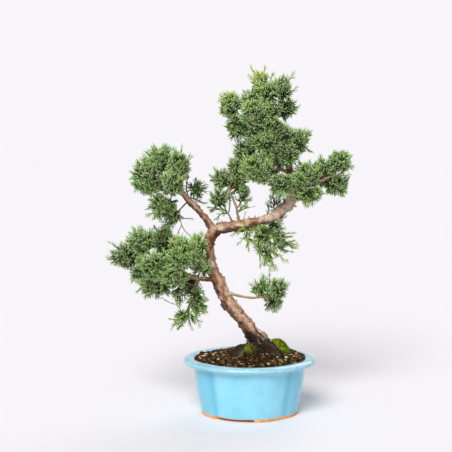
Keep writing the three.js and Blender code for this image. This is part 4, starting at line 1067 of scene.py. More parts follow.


# The foliage: the limb that bears each tuft, how far along it the stem stands, the middle of the tuft,
# its half sizes, how its shoots turn (up above 0) and its tone (dark below 0, yellow above 0),
# partly the foliage's own tone and partly painted shade on tufts at the back and painted light on lit ones

tufts = {
    "high_left_1": ["highLeftOuter", 1, [-102, -12, 241], [17, 17, 21], 0.3, 0.0],
    "high_left_2": ["highLeft", 0.9, [-89, 12, 256], [16, 16, 18], 0.5, -0.1],
    "high_left_3": ["highLeft", 1, [-71, -2, 251], [15, 16, 18], 0.5, 0.1],
    "high_left_4": ["highLeft", 0.7, [-54, 15, 228], [12, 11, 9], 0.2, -0.6],
    "high_left_5": ["highLeftOuter", 0.35, [-86, -9, 214], [16, 14, 16], -0.2, 0.1],
    "high_left_6": ["highLeft", 0.55, [-77, 2, 201], [12, 8, 14], -0.5, 0.0],
    "high_left_7": ["highLeftBack", 1, [-83, 30, 231], [15, 16, 14], 0.3, -0.3],
    "high_left_8": ["highLeftOuter", 0.6, [-76, -25, 236], [14, 13, 14], 0.3, 0.2],
    "low_left_1": ["lowLeft", 1, [-126, 22, 158], [18, 16, 15], 0.2, -0.8],
    "low_left_2": ["lowLeft", 0.8, [-108, 9, 173], [18, 16, 16], 0.5, -0.1],
    "low_left_3": ["lowLeftBack", 0.7, [-88, 24, 172], [16, 15, 15], 0.5, -0.4],
    "low_left_4": ["lowLeft", 0.7, [-94, -13, 152], [20, 18, 18], 0.2, 0.0],
    "low_left_5": ["lowLeftFront", 1, [-67, -22, 166], [19, 17, 18], 0.4, 0.2],
    "low_left_6": ["lowLeftFront", 0.35, [-52, -15, 168], [11, 12, 18], 0.5, 0.3],
    "low_left_7": ["lowLeft", 0.6, [-95, 1, 130], [18, 15, 12], -0.2, 0.0],
    "low_left_8": ["lowLeftHanging", 0.3, [-75, -19, 142], [17, 14, 13], 0, 0.2],
    "low_left_9": ["lowLeftHanging", 0.5, [-54, -3, 118], [12, 12, 17], -0.3, 0.2],
    "low_left_10": ["lowLeftHanging", 1, [-67, 7, 98], [18, 13, 12], -0.3, 0.2],
    "low_left_11": ["lowLeftBack", 1, [-76, 36, 155], [18, 16, 15], 0.3, -0.4],
    "low_left_12": ["lowLeftBack", 0.4, [-62, 20, 131], [14, 13, 13], -0.2, -0.2],
    "low_right_1": ["lowRight", 0.75, [12, 3, 127], [12, 11, 10], 0.5, 0.0],
    "low_right_2": ["lowRight", 1, [28, -5, 127], [11, 11, 12], 0.4, 0.0],
    "low_right_3": ["lowRight", 0.85, [23, 3, 115], [12, 11, 10], -0.2, 0.0],
    "hanging_1": ["hanging", 0.6, [32, -5, 178], [14, 12, 14], 0, 0.3],
    "hanging_2": ["hanging", 1, [18, 4, 164], [15, 13, 15], -0.3, 0.5],
    "hanging_3": ["hanging", 0.5, [12, -15, 184], [12, 10, 15], -0.3, 0.4],
    "hanging_4": ["trunk", 0.632, [-1, -10, 185], [7, 7, 13], -0.4, 0.3],
    "arch_1": ["archLeft", 1, [-30, -7, 218], [14, 11, 13], 0.4, -0.1],
    "arch_2": ["archMiddle", 1, [-27, 5, 237], [13, 13, 12], 0.4, 0.0],
    "arch_3": ["archMiddle", 0.8, [-13, 9, 235], [14, 13, 15], 0.4, 0.0],
    "arch_4": ["archMiddle", 0.45, [-8, -3, 221], [7, 8, 10], 0.5, 0.0],
    "arch_5": ["trunk", 0.715, [25, 5, 214], [9, 7, 9], 0.5, -0.3],
    "pad_right_1": ["padRight", 0.5, [57, -9, 244], [17, 14, 14], 0.4, 0.25],
    "pad_right_2": ["padRight", 1, [88, -8, 255], [14, 14, 14], 0.5, 0.15],
    "pad_right_3": ["padRight", 0.85, [86, 6, 233], [16, 14, 12], 0, 0.15],
    "pad_right_4": ["padRight", 0.45, [58, -9, 226], [17, 14, 11], -0.1, 0.3],
    "pad_right_5": ["padRightBack", 1, [71, 23, 240], [16, 15, 14], 0.4, -0.3],
    "crown_1": ["crownFront", 1, [9, -25, 250], [19, 16, 19], 0.4, 0.1],
    "crown_2": ["crownFront", 0.4, [32, -19, 236], [16, 13, 14], 0, 0.1],
    "crown_3": ["crownRight", 1, [48, 7, 276], [14, 14, 14], 0.4, 0.0],
    "crown_4": ["crownBack", 1, [17, 29, 250], [19, 17, 18], 0.4, -0.3],
    "crown_5": ["crownBack", 0.35, [31, 22, 261], [15, 14, 15], 0.5, -0.2],
    "crown_6": ["crownLeft", 1, [-4, 9, 264], [13, 13, 12], 0.3, 0.0],
    "crown_7": ["trunk", 0.905, [16, -14, 275], [16, 14, 15], 0.4, 0.0],
    "crown_8": ["trunk", 0.93, [22, -15, 290], [14, 13, 14], 0.4, 0.1],
    "top_6": ["topLeft", 0.7, [-10, 6, 291], [15, 12, 14], 0, 0.1],
    "top_1": ["trunk", 1, [11, 2, 332], [11, 12, 15], 0.6, 0.7],
    "top_2": ["topRight", 1, [31, -7, 327], [13, 13, 15], 0.5, 0.2],
    "top_3": ["topRight", 0.3, [36, 9, 308], [12, 13, 11], 0.4, -0.1],
    "top_4": ["topLeft", 1, [-18, -2, 311], [14, 14, 15], 0.4, 0.3],
    "top_5": ["topLeft", 0.6, [2, 12, 315], [14, 13, 14], 0.5, 0.0],
    "top_7": ["topFront", 1, [6, -17, 303], [18, 15, 17], 0.4, 0.1],
    "top_8": ["topBack", 1, [16, 26, 297], [17, 15, 17], 0.4, -0.2],
}

# Tufts that fill the gaps between those, without a solid of their own
fillers = {
    "crown_9": ["trunk", 0.89, [37, -12, 264], [14, 10, 14], 0.3, 0.0],
    "crown_10": ["crownRight", 0.6, [34, -8, 282], [12, 10, 12], 0.4, 0.0],
    "crown_11": ["padRight", 0.2, [48, -12, 236], [13, 10, 12], 0.2, 0.0],
    "crown_12": ["crownLeft", 0.7, [5, -2, 277], [13, 10, 12], 0.3, 0.0],
    "arch_6": ["archMiddle", 0.9, [-13, 7, 250], [12, 10, 10], 0.5, 0.0],
    "low_left_13": ["lowLeftFront", 0.6, [-49, -12, 151], [13, 10, 11], 0.2, 0.3],
    "low_left_14": ["lowLeft", 0.85, [-109, 14, 143], [15, 12, 12], -0.2, -0.7],
    "low_left_15": ["lowLeft", 0.5, [-71, -6, 125], [12, 10, 11], -0.4, 0.4],
    "hanging_5": ["hanging", 0.25, [22, -2, 190], [10, 9, 9], 0, -0.1],
    "pad_right_6": ["padRight", 0.8, [73, -2, 249], [12, 10, 10], 0.4, 0.2],
    "top_9": ["topRight", 0.8, [19, -8, 322], [11, 10, 13], 0.4, 0.2],
    "top_10": ["topRight", 0.4, [21, -10, 308], [12, 10, 12], 0.3, 0.0],
}

# Tufts whose twigs hang open: the share of the plumes that they keep
openTufts = {
    "high_left_4": 0.4, "high_left_6": 0.4, "low_left_9": 0.5, "low_left_10": 0.12, "low_left_14": 0.6,
    "low_left_15": 0.25, "hanging_1": 0.18, "hanging_2": 0.12, "hanging_3": 0.4, "hanging_4": 0.0,
    "arch_1": 0.5, "arch_4": 0.25, "arch_5": 0.15, "low_right_1": 0.4, "top_1": 0.7, "top_2": 0.8,
}

foliage = {
    "plumeArea": 70.0,  # square millimetres of a tuft's outside to one plume
    "areaPower": 1.6,  # the power in the sum that gives that outside
    "turn": 2.39996,  # from one plume to the next, round a tuft
    "wayJitter": 0.18,
    "stemAngle": 0.55,  # cosine of the angle at which a plume leaves the stem, as near as its end allows
    "tipRoom": 8,  # millimetres inside a tuft's outline where its outer shoots begin
    "plumeReach": [0.5, 1.24],  # how far out a plume's axis ends, as a share of what is left
    "lean": [0.45, 0.25, 0.6],  # how far a plume's end points outwards, up and to any side
    "bareShare": 0.26,  # part of a plume's axis without shoots
    "shootStep": 3.0,  # millimetres between the pairs of shoots of a plume
    "endRoom": 0.6,  # millimetres at a plume's end without pairs
    "endShoot": 1.35,  # length of the single shoot there, as a share of the last pair's
    "shootLength": [9.8, 7.4],  # at the foot and at the tip of a plume
    "fanShoots": 0.72,  # length of the shoots on the twigs of a fan
    "crowding": 1.6,  # the power of that length by which they stand closer
    "fanShadeDepth": 0.35,  # how far painted shade darkens them on an open tuft, as if that far inside
    "shootAngle": [54, 34],  # degrees to the axis, at the foot and at the tip of a plume
    # The fingers of a shoot: height on its axis, turn round it, angle to it and length
    "shoots": [
        [(0.1, 0, 36, 0.62), (0.24, 180, 32, 0.62), (0.44, 12, 30, 0.46), (0.58, 172, 28, 0.34)],
        [(0.14, 0, 31, 0.62), (0.28, 175, 36, 0.58), (0.36, 95, 26, 0.44), (0.54, -10, 30, 0.38)],
        [(0.08, 180, 38, 0.58), (0.2, 5, 30, 0.68), (0.46, 185, 29, 0.46), (0.5, -80, 30, 0.34)],
        [(0.16, 0, 28, 0.66), (0.32, 180, 31, 0.56), (0.48, 60, 27, 0.4), (0.6, 230, 26, 0.32)],
    ],
    "slim": 0.66,  # thickness of the slim shoots, as a share of the others'
    "slimTip": 0.35,  # how light they already are at their foot
    "slimShare": 0.7,  # part of the shoots at a plume's tip that are slim
    "sweep": 0.4,  # how far the plumes of a tuft point away from the limb
    "sweepReach": 0.2,  # how much longer they are on that side
    "outOfPlane": 0.25,  # share of the shoots that leave the plane of their plume
    "stemRadius": [0.85, 0.5],
    "axisRadius": [0.55, 0.4],
    "strayRadius": [0.5, 0.32],
    "strayShoots": [3.6, 5],  # along a stray shoot and at its tip
    "scaleJitter": [0.86, 1.16],
    "twigSides": 4,
    "seed": 40,
    "shade": tint("1a3e00"),
    "green": tint("72b03c"),
    "blue": tint("70b252"),
    "yellow": tint("b7c650"),
    "light": tint("e0eeb2"),
    "twig": tint("8f7550"),
    "brown": tint("86603f"),
}

# Twigs that fan out of a tuft: the places they run through
fans = {
    "high_left_1": [
        [[-100, -9, 242], [-105, -11, 249], [-109, -12, 255]],
        [[-100, -9, 238], [-107, -12, 236], [-112, -13, 236]],
    ],
    "high_left_2": [
        [[-85, 8, 255], [-86, 5, 263], [-85, 3, 269]],
        [[-88, 10, 255], [-92, 7, 261], [-94, 5, 265]],
    ],
    "high_left_3": [[[-70, 0, 250], [-65, -2, 254], [-61, -3, 258]]],
    "high_left_4": [
        [[-60, 5, 222], [-55, 6, 226], [-50, 6, 227]],
        [[-60, 6, 220], [-54, 7, 218], [-50, 7, 216]],
        [[-60, 6, 222], [-57, 8, 229], [-54, 9, 233]],
        [[-62, 4, 223], [-64, 6, 230], [-63, 7, 236]],
    ],
    "high_left_6": [
        [[-76, 0, 200], [-81, -2, 196], [-85, -3, 193]],
        [[-76, 0, 198], [-80, -1, 191], [-82, -2, 187]],
    ],
    "low_left_1": [[[-122, 18, 157], [-132, 18, 165], [-140, 18, 171]]],
    "low_left_2": [[[-108, 8, 172], [-113, 6, 180], [-116, 5, 186]]],
    "low_left_3": [[[-88, 20, 172], [-92, 18, 180], [-95, 17, 186]]],
    "low_left_6": [[[-52, -13, 168], [-51, -14, 176], [-50, -14, 182]]],
    "low_left_7": [[[-98, 0, 134], [-107, 2, 133], [-115, 4, 135]]],
    "low_left_9": [
        [[-55, -1, 126], [-50, -3, 116], [-47, -4, 108]],
        [[-57, -1, 124], [-56, -5, 112], [-54, -7, 104]],
        [[-54, -2, 129], [-49, -4, 126], [-46, -5, 122]],
    ],
    "low_left_14": [
        [[-108, 12, 146], [-115, 12, 144], [-121, 12, 146]],
        [[-108, 12, 142], [-113, 12, 138], [-117, 12, 137]],
    ],
    "arch_1": [
        [[-24, -3, 207], [-32, -6, 214], [-37, -8, 222]],
        [[-24, -3, 207], [-32, -7, 210], [-37, -8, 211]],
        [[-22, -2, 205], [-28, -6, 205], [-32, -8, 202]],
        [[-21, -1, 206], [-20, -3, 216], [-21, -4, 226]],
        [[-23, -2, 206], [-26, -4, 214], [-25, -5, 222]],
    ],
    "arch_4": [[[-12, 0, 206], [-6, -3, 213], [-2, -4, 217]], [[-12, 0, 206], [-5, -4, 210], [-1, -5, 211]]],
    "arch_5": [
        [[17, 0, 203], [19, -1, 208], [18, -1, 211]],
        [[26, 0, 205], [30, -1, 213], [30, -1, 220]],
        [[28, 1, 206], [34, 0, 214], [34, 0, 220]],
    ],
    "pad_right_2": [
        [[83, -4, 248], [86, -8, 256], [88, -10, 262]],
        [[84, -4, 247], [92, -8, 250], [97, -10, 251]],
    ],
    "pad_right_3": [[[80, 2, 236], [87, 2, 230], [92, 1, 228]], [[82, 0, 240], [90, -1, 242], [95, -1, 243]]],
    "crown_12": [[[2, -1, 274], [-5, -2, 279], [-9, -3, 282]]],
    "crown_3": [[[46, 5, 276], [50, 4, 282], [53, 3, 286]], [[47, 5, 273], [53, 4, 271], [57, 3, 269]]],
    "top_6": [[[-12, 3, 294], [-18, 0, 298], [-22, -1, 300]]],
    "top_1": [
        [[12, 1, 322], [8, 0, 336], [3, -1, 346]],
        [[13, 0, 324], [14, -2, 338], [14, -3, 346]],
        [[12, 1, 324], [6, 2, 333], [2, 1, 338]],
        [[14, 1, 326], [19, 0, 334], [21, -1, 339]],
    ],
    "top_2": [
        [[28, -5, 318], [35, -8, 331], [40, -9, 340]],
        [[29, -5, 318], [32, -8, 328], [31, -9, 336]],
        [[29, -5, 316], [37, -6, 323], [43, -6, 328]],
    ],
    "top_3": [[[34, 6, 308], [39, 6, 307], [43, 5, 308]]],
    "top_4": [
        [[-12, -1, 308], [-17, -4, 316], [-20, -6, 322]],
        [[-14, -1, 307], [-22, -4, 311], [-27, -5, 315]],
    ],
    "hanging_1": [
        [[8, -6, 191], [17, -10, 177], [26, -13, 166], [34, -14, 160]],
        [[18, -6, 184], [30, -8, 177], [38, -8, 175]],
        [[12, -5, 191], [25, -8, 182], [38, -9, 176], [43, -9, 173]],
        [[13, -4, 192], [26, 1, 188], [36, 4, 184], [41, 5, 184]],
        [[20, -3, 196], [27, 3, 194], [33, 7, 198]],
        [[10, -5, 190], [21, -3, 175], [32, 0, 168], [39, 2, 166]],
    ],
    "hanging_2": [
        [[6, -5, 191], [10, -5, 172], [14, -6, 160], [19, -7, 152]],
        [[8, -6, 191], [9, -9, 170], [10, -11, 158]],
        [[13, -2, 178], [19, -2, 162], [23, -3, 152]],
        [[7, -4, 191], [14, 0, 170], [22, 4, 156], [25, 5, 151]],
    ],
    "hanging_3": [[[3, -8, 190], [1, -12, 186], [-1, -13, 182]], [[6, -9, 190], [5, -12, 184]]],
    "hanging_4": [
        [[-3, -4, 191], [-3, -10, 182], [-2, -11, 174]], [[-3, -8, 184], [-8, -10, 179]],
        [[-6, -6, 199], [-6, -9, 193], [-5, -10, 185]], [[-5, -8, 192], [-11, -9, 188], [-14, -9, 186]],
    ],
    "low_left_10": [
        [[-59, 0, 118], [-64, -3, 106], [-71, -5, 98], [-77, -6, 98]],
        [[-66, -4, 103], [-74, -5, 96], [-77, -6, 91]],
        [[-60, 0, 113], [-53, -2, 106], [-47, -3, 105]],
        [[-61, 2, 110], [-64, 0, 99], [-70, -1, 90]],
        [[-60, 3, 110], [-54, 4, 98], [-52, 5, 92]],
        [[-61, 4, 108], [-62, 8, 97], [-60, 9, 89]],
    ],
    "low_right_1": [
        [[11, -3, 120.5], [7, -5, 126], [3, -7, 131]],
        [[13, -3, 120], [14, -5, 130], [13, -6, 140]],
        [[16, -2.5, 120], [20, 0, 130], [20, 2, 138]],
        [[17, -3, 120], [22, -5, 127], [24, -6, 134]],
        [[10, -3.5, 120.5], [5, -6, 124]],
    ],
}

# Thin shoots that stand or hang clear of their tuft: the tuft they belong to and the places they run through
strays = [
    ["high_left_6", [[-70, 4, 208], [-70.5, 1, 201], [-68.6, -2, 193], [-72, -3, 186], [-73.7, -4, 181]]],
    ["high_left_6", [[-68.8, -2, 194], [-65.5, -3, 188], [-60.5, -3, 183]]],
    ["high_left_6", [[-70, 0, 203], [-66, -1.6, 200], [-61.2, -2, 199.4]]],
    ["high_left_4", [[-57, 3, 215], [-53, 1, 216], [-46.5, 0, 215.4]]],
    ["low_left_10", [[-70, -3, 130], [-75.5, -5, 123.8], [-74, -6, 113.5], [-80, -7, 115], [-85.6, -8, 118.4]]],
    ["low_left_10", [[-74, -6, 113.5], [-70, -4, 107], [-74, -2, 101]]],
    ["arch_5", [[-6.5, -2, 196.5], [-6.2, -2.4, 199.6], [-5.2, -3, 203.4]]],
]


def juniperGreen(wire, place):
    tip = wire.attribute("tip")
    tone = wire.attribute("tone")
    broad = wire.noise(place, 55, 2, 0.5)
    fine = wire.noise(place, 420, 3, 0.6)
    # painted shade: shoots darken towards the middle of their tuft and at the foot of their cords
    dim = 0.35 - tip * 0.55 - tone * 0.4 + wire.attribute("depth") * 1.5 + (fine - 0.5) * 0.9
    bark = wire.blend(fine, foliage["twig"], foliage["brown"])
    colour = wire.blend(broad.step(0.4, 0.62), foliage["green"], foliage["blue"])
    colour = wire.blend((tone * 0.75 + (fine - 0.5) * 0.9).step(0.12, 0.9), colour, foliage["yellow"])
    colour = wire.blend(dim.step(0.1, 1.0) * 0.9, colour, foliage["shade"])
    # the lighter tips are young growth with a painted highlight
    colour = wire.blend((tip + (fine - 0.5) * 0.5).step(0.55, 1.1) * 0.66, colour, foliage["light"])
    return {
        "Base Color": wire.blend(wire.attribute("woody").step(0.3, 0.75), colour, bark),
        "Roughness": 0.5 + fine * 0.25,
        "Specular IOR Level": 0.1,
        "Normal": wire.bump(wire.cells(place, 1500), 0.00025, 0.6),
    }


def addCord(shape, layer, start, end, thick, thin, tips):  # a closed three-sided cord with a blunt end
    heading = (end - start).normalized()
    side = heading.orthogonal().normalized()
    across = heading.cross(side)
    corners = []
    for place, radius, tip in ((start, thick, tips[0]), (end, thin, tips[1])):
        for k in range(3):
            angle = 2 * math.pi * k / 3
            corner = shape.verts.new(place + radius * (side * math.cos(angle) + across * math.sin(angle)))
            corner[layer] = tip
            corners.append(corner)
    for face in ((2, 1, 0), (3, 4, 5), (0, 1, 4, 3), (1, 2, 5, 4), (2, 0, 3, 5)):
        shape.faces.new([corners[i] for i in face])


def shootShapes():  # small forking shoots one unit long, up Z and spread in the plane of X
    meshes = []
    for slim, lift in ((1.0, 0.0), (foliage["slim"], foliage["slimTip"])):
        for fingers in foliage["shoots"]:
            shape = bmesh.new()
            layer = shape.verts.layers.float.new("tip")
            foot, tip = Vector((0, 0, -0.03)), Vector((0.02, 0, 1))
            addCord(shape, layer, foot, tip, 0.064 * slim, 0.054 * slim, (lift, 1.0))
            for height, turn, angle, length in fingers:
                a, b = math.radians(angle), math.radians(turn)
                start = Vector((0, 0, height))
                way = Vector((math.sin(a) * math.cos(b), math.sin(a) * math.sin(b), math.cos(a)))
                tips = (max(lift, height * 0.6), 0.95)
                addCord(shape, layer, start, start + way * length, 0.06 * slim, 0.05 * slim, tips)
            meshes.append(meshFrom(shape, "shoot"))
    return collect("shoot", meshes)


def buildFoliageTree():
    wire, given = startTree("growShoots", {"Shoots": "Collection", "Kinds": "Int", "Twig sides": "Int",
                                           "Least scale": "Float", "Most scale": "Float", "Seed": "Int",
                                           "Foliage": "Material"})
    seed = given["Seed"]
    radius = wire.named("radius")
    split = wire.node("GeometryNodeSeparateGeometry", {"domain": "POINT"},
                      {"Geometry": given["Geometry"], "Selection": wire.named("leafy", "BOOLEAN")})
    lines = wire.node("GeometryNodeMeshToCurve", None, {0: split.other("Inverted")})
    lines = wire.node("GeometryNodeSetCurveRadius", None, {"Curve": lines, "Radius": radius})
    ring = wire.node("GeometryNodeCurvePrimitiveCircle", None, {"Resolution": given["Twig sides"], "Radius": 1.0})
    twigs = wire.node("GeometryNodeCurveToMesh", None, {
        "Curve": lines, "Profile Curve": ring, "Scale": radius, "Fill Caps": True})
    size = wire.chance("FLOAT", given["Least scale"], given["Most scale"], seed) * radius
    kind = wire.chance("INT", 0, given["Kinds"] - 1, seed + 1) + wire.named("slim") * given["Kinds"]
    turn = wire.facing(wire.named("aim", "FLOAT_VECTOR"), wire.named("spread", "FLOAT_VECTOR"))
    shoots = wire.strew(split, given["Shoots"], kind, turn, size)
    endTree(wire, wire.join(shoots, twigs), given["Foliage"])
    return wire


class Growth:  # the lines of the twigs and the places of the shoots of one tuft
    plain = {"radius": 0.0, "woody": 0.0, "tone": 0.0, "depth": 0.0, "slim": 0.0, "leafy": False,
             "aim": (0, 0, 1), "spread": (1, 0, 0)}
    kinds = {"leafy": "BOOLEAN", "aim": "FLOAT_VECTOR", "spread": "FLOAT_VECTOR"}

    def __init__(self, centre, halves):
        self.points, self.edges = [], []
        self.values = {name: [] for name in self.plain}
        self.centre, self.halves = centre, halves
        self.leastDepth = 0.0

    def add(self, place, **values):
        self.points.append(place)
        out = Vector([a / b for a, b in zip(place - self.centre, self.halves)]).length
        # depth is 1 in the middle of the tuft, where the shoots get their painted shade
        values["depth"] = max(self.leastDepth, 1 - out)
        for name, rows in self.values.items():
            rows.append(values.get(name, self.plain[name]))

    def line(self, path, radii, woody, tone):
        for i, place in enumerate(path):
            share = i / (len(path) - 1)
            if i:
                self.edges.append((len(self.points) - 1, len(self.points)))
            self.add(place, radius=mix(radii, share) * mm, woody=mix(woody, share), tone=tone)

    def shoot(self, place, aim, spread, length, tone, slim=True):
        self.add(place, radius=length * mm, leafy=True, aim=aim, spread=spread, tone=tone, slim=float(slim))

    def mesh(self):
        mesh = meshOf("growth", self.points, self.edges, [])
        for name, rows in self.values.items():
            mark(mesh, name, rows, self.kinds.get(name, "FLOAT"))
        return mesh


def bend(start, heading, end, count):  # a curve that leaves start along heading and reaches end
    middle = start + heading.normalized() * ((end - start).length * 0.5)
    shares = [i / count for i in range(count + 1)]
    return [start * (1 - t) ** 2 + middle * 2 * t * (1 - t) + end * t * t for t in shares]


def growPlume(growth, path, tone, dice, bare=1.0, size=1.0):  # an axis with paired shoots in its own plane
    hidden = bare == 1  # its foot is inside a full tuft
    radii = [radius / size for radius in foliage["axisRadius"]]
    growth.line(path, radii, (0.75 if hidden else 0.3, 0.0), tone if hidden else tone + 0.5)
    runs = [0.0]
    for a, b in zip(path, path[1:]):
        runs.append(runs[-1] + (b - a).length)
    total = runs[-1]
    heading = (path[-1] - path[0]).normalized()
    plane = Vector((dice.gauss(0, 1), dice.gauss(0, 1), dice.gauss(0, 0.7)))
    plane = (plane - heading * plane.dot(heading)).normalized()
    run = total * foliage["bareShare"] * bare
    step = 0.5 * foliage["shootStep"] / size ** foliage["crowding"] * mm
    side = 1
    while run < total - foliage["endRoom"] * mm:
        i = min(max(k for k, r in enumerate(runs) if r <= run), len(path) - 2)
        place = path[i].lerp(path[i + 1], (run - runs[i]) / (runs[i + 1] - runs[i]))
        along = (path[i + 1] - path[i]).normalized()
        outward = run / total
        angle = math.radians(mix(foliage["shootAngle"], outward))
        for way in (side, -side):
            spread = (plane - along * plane.dot(along)).normalized() * way
            if dice.random() < foliage["outOfPlane"]:
                spread = Matrix.Rotation(dice.uniform(0.9, 2.2), 3, along) @ spread
            aim = along * math.cos(angle) + spread * math.sin(angle)
            aim += Vector((dice.uniform(-0.2, 0.2), dice.uniform(-0.2, 0.2), dice.uniform(-0.14, 0.2)))
            length = mix(foliage["shootLength"], outward) * size * dice.uniform(0.8, 1.12)
            slim = size < 1 or dice.random() < foliage["slimShare"] * outward
            growth.shoot(place, aim.normalized(), spread, length, tone + dice.uniform(-0.15, 0.15), slim)
            run += step
            place = place + along * step
        side = -side
    length = foliage["shootLength"][1] * foliage["endShoot"] * size
    growth.shoot(path[-1], (path[-1] - path[-2]).normalized(), plane, length, tone + 0.25)


def growStem(growth, limb, share, rise, tone, dice):  # from its limb past the middle, with a plume at its end
    centre = growth.centre
    seat = smoothLine(limbs[limb], share)
    base = spot(*seat[:3])
    nearby = smoothLine(limbs[limb], share + 0.02 if share < 1 else 0.96)
    tangent = (spot(*nearby[:3]) - base).normalized() * (1 if share < 1 else -1)
    out = tangent if share == 1 else (centre - base) - tangent * (centre - base).dot(tangent)
    heading = (centre - base).normalized()
    inner = Vector([a * b for a, b in zip(heading, growth.halves)]).length
    end = centre + heading * inner * 0.35 + Vector((0, 0, rise)) * inner * 0.2
    stem = bend(base, out.normalized() * 0.6 + heading * 0.7, end, 10)
    thick, thin = foliage["stemRadius"]
    growth.line(stem, [min(seat[3] * 0.8, thick), thin], (1.0, 0.45), tone)
    room = max(inner - foliage["tipRoom"] * mm, 0.6 * inner)
    tip = centre + (heading + Vector((0, 0, rise)) * 0.4).normalized() * room
    growPlume(growth, bend(stem[-1], stem[-1] - stem[-2], tip, 5), tone + 0.2, dice)
    return stem, heading, inner


def growStray(growth, places, tone, dice):
    line = [spot(*smoothLine(places, i / 10)[:3]) for i in range(11)]
    growth.line(line, foliage["strayRadius"], (0.7, 0.2), tone - 0.2)
    short, long = foliage["strayShoots"]
    for i in (7, 9):
        side = Vector((dice.uniform(-1, 1), dice.uniform(-1, 1), dice.uniform(-0.5, 0.5))).normalized()
        run = (line[i] - line[i - 1]).normalized()
        growth.shoot(line[i], (run + side * 0.7).normalized(), side, short, tone)
    growth.shoot(line[-1], (line[-1] - line[-2]).normalized(), Vector((1, 0, 0)), long, tone)


def growTuft(name, index):
    limb, share, middle, half, rise, tone = {**tufts, **fillers}[name]
    dice = random.Random(foliage["seed"] + index)
    growth = Growth(spot(*middle), Vector(half) * mm)
    centre, halves = growth.centre, growth.halves
    stem, heading, inner = growStem(growth, limb, share, rise, tone, dice)
    # the stem's stops inside the tuft, from which the plumes leave
    inside = [i for i in range(2, 10) if (stem[i] - centre).length < 1.15 * inner] or [9]
    fullness = openTufts.get(name, 1.0)
    if fullness < 1:
        inside = inside[:3]
    power = foliage["areaPower"]
    faces = sum((a * b) ** power for a, b in ((half[0], half[1]), (half[0], half[2]), (half[1], half[2])))
    area = 4 * math.pi * (faces / 3) ** (1 / power)
    count = round(area / foliage["plumeArea"] * fullness)
    first = dice.uniform(0, 6.28)
    sweep = (heading + Vector((0, 0, rise * 0.8))).normalized()
    outwards, upwards, anyway = foliage["lean"]
    along = [(b - a).normalized() for a, b in zip(stem, stem[1:])]
    for k in range(count):  # the plumes' ways out are spread evenly over the tuft
        z = 1 - 2 * (k + 0.5) / count
        turn = first + k * foliage["turn"]
        ring = math.sqrt(1 - z * z)
        way = Vector((ring * math.cos(turn), ring * math.sin(turn), z))
        way += Vector([dice.uniform(-foliage["wayJitter"], foliage["wayJitter"]) for _ in range(3)])
        way.normalize()
        reach = dice.uniform(*foliage["plumeReach"]) * (1 + foliage["sweepReach"] * way.dot(sweep))
        end = centre + Vector([a * max(b - foliage["tipRoom"] * mm, 0.4 * b) for a, b in zip(way, halves)]) * reach
        i = min(inside, key=lambda j: abs((end - stem[j]).normalized().dot(along[j]) - foliage["stemAngle"]))
        lean = way * outwards + Vector((0, 0, upwards + rise * 0.8)) + sweep * foliage["sweep"]
        lean += Vector([dice.uniform(-1, 1) for _ in range(3)]) * anyway
        path = bend(end, -lean, stem[i], 5)[::-1]
        # painted light: plumes that point up get a lighter tone
        lighter = tone + dice.uniform(-0.25, 0.25) + 0.12 * way.z
        growPlume(growth, path, lighter, dice, 1.0 if fullness == 1 else 1.5)
    growth.leastDepth = foliage["fanShadeDepth"] if fullness < 1 else 0.0
    for places in fans.get(name, []):
        path = [spot(*smoothLine(places, i / 8)) for i in range(9)]
        growPlume(growth, path, tone + 0.15, dice, 0.9, foliage["fanShoots"])
    for owner, places in strays:
        if owner == name:
            growStray(growth, places, tone, dice)
    return growth.mesh()


def makeFoliage():
    tree = buildFoliageTree()
    green = makeMaterial("juniper foliage", juniperGreen)
    values = {"Shoots": shootShapes(), "Kinds": len(foliage["shoots"]), "Twig sides": foliage["twigSides"],
              "Least scale": foliage["scaleJitter"][0], "Most scale": foliage["scaleJitter"][1], "Foliage": green}
    total = 0
    for index, name in enumerate([*tufts, *fillers]):
        mesh = runTree(growTuft(name, index), tree, {**values, "Seed": foliage["seed"] + index})
        keepOnly(mesh, ["tip", "tone", "depth", "woody"])
        finishPiece("foliage_" + name, mesh, green, ["spray_" + name] if name in tufts else [])
        total += triangles(mesh)
    print("foliage:", len(tufts) + len(fillers), "tufts,", total, "triangles")


makeFoliage()


# The floor, the light and the camera

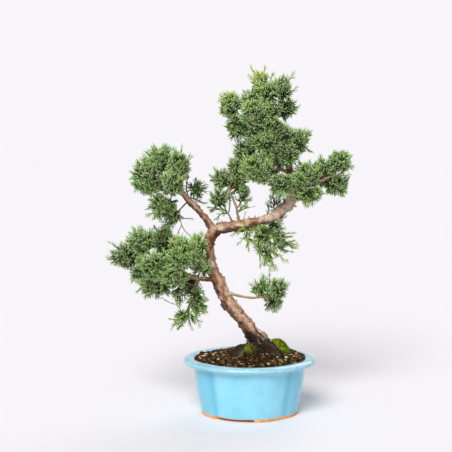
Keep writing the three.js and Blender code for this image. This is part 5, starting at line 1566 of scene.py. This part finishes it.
studio = {
    "floor": tint("e9e6e8"),
    "horizon": tint("f8f6fa"),
    "zenith": tint("9b9da2"),
    "dim": tint("6b6d72"),  # its colour to the right
    "domeLine": [0.1, 0.45],  # heights of the sky between which it turns from the horizon's colour to the zenith's
    "floorSize": 24,
    # direction that the light comes from, strength and apparent size in degrees
    "suns": {
        "key": [(-0.3, -0.95, 0.95), 2.95, 30],
        "back": [(0.3, 0.9, 0.9), 0.7, 40],
    },
    "cameraHeight": 327,
    "cameraDistance": 1133,
    "cameraAside": -23.9,
    "pitch": 6.8,
    "lens": 90.5,
    "sensor": 36,
}


def paleFloor(wire, place):
    return {"Base Color": studio["floor"], "Roughness": 0.85, "Specular IOR Level": 0.1}


def makeSky():  # bright round the horizon, dimmer overhead and to the right
    world = bpy.data.worlds.new("studio")
    world.use_nodes = True
    world.node_tree.nodes.clear()
    wire = Wire(world.node_tree)
    way = wire.node("ShaderNodeTexCoord", None, None, "Generated")
    dome = wire.part(way, 2).step(*studio["domeLine"])
    colour = wire.blend(dome, studio["horizon"], studio["zenith"])
    colour = wire.blend(wire.part(way, 0).step(0.35, 0.95) * dome.step(0.0, 0.5), colour, studio["dim"])
    sky = wire.node("ShaderNodeBackground", None, {"Color": colour})
    wire.node("ShaderNodeOutputWorld", None, {"Surface": sky})
    bpy.context.scene.world = world


def makeStudio():
    half = studio["floorSize"] / 2
    corners = [(-half, -half, 0), (half, -half, 0), (half, half, 0), (-half, half, 0)]
    floor = addObject("studio_floor", meshOf("studio_floor", corners, [], [(0, 1, 2, 3)]))
    floor.data.materials.append(makeMaterial("studio floor", paleFloor))
    makeSky()
    for name, (direction, strength, size) in studio["suns"].items():
        light = bpy.data.lights.new(name, "SUN")
        light.energy = strength
        light.angle = math.radians(size)
        addObject(name, light).rotation_euler = Vector(direction).to_track_quat("Z", "Y").to_euler()
    view = bpy.data.cameras.new("camera")
    view.lens = studio["lens"]
    view.sensor_width = studio["sensor"]
    camera = addObject("camera", view)
    camera.location = spot(studio["cameraAside"], -studio["cameraDistance"], studio["cameraHeight"])
    camera.rotation_euler = (math.radians(90 - studio["pitch"]), 0, 0)
    bpy.context.scene.camera = camera
    bpy.context.scene.view_settings.view_transform = "Standard"  # colours as they are given above


makeStudio()
print("studio done")
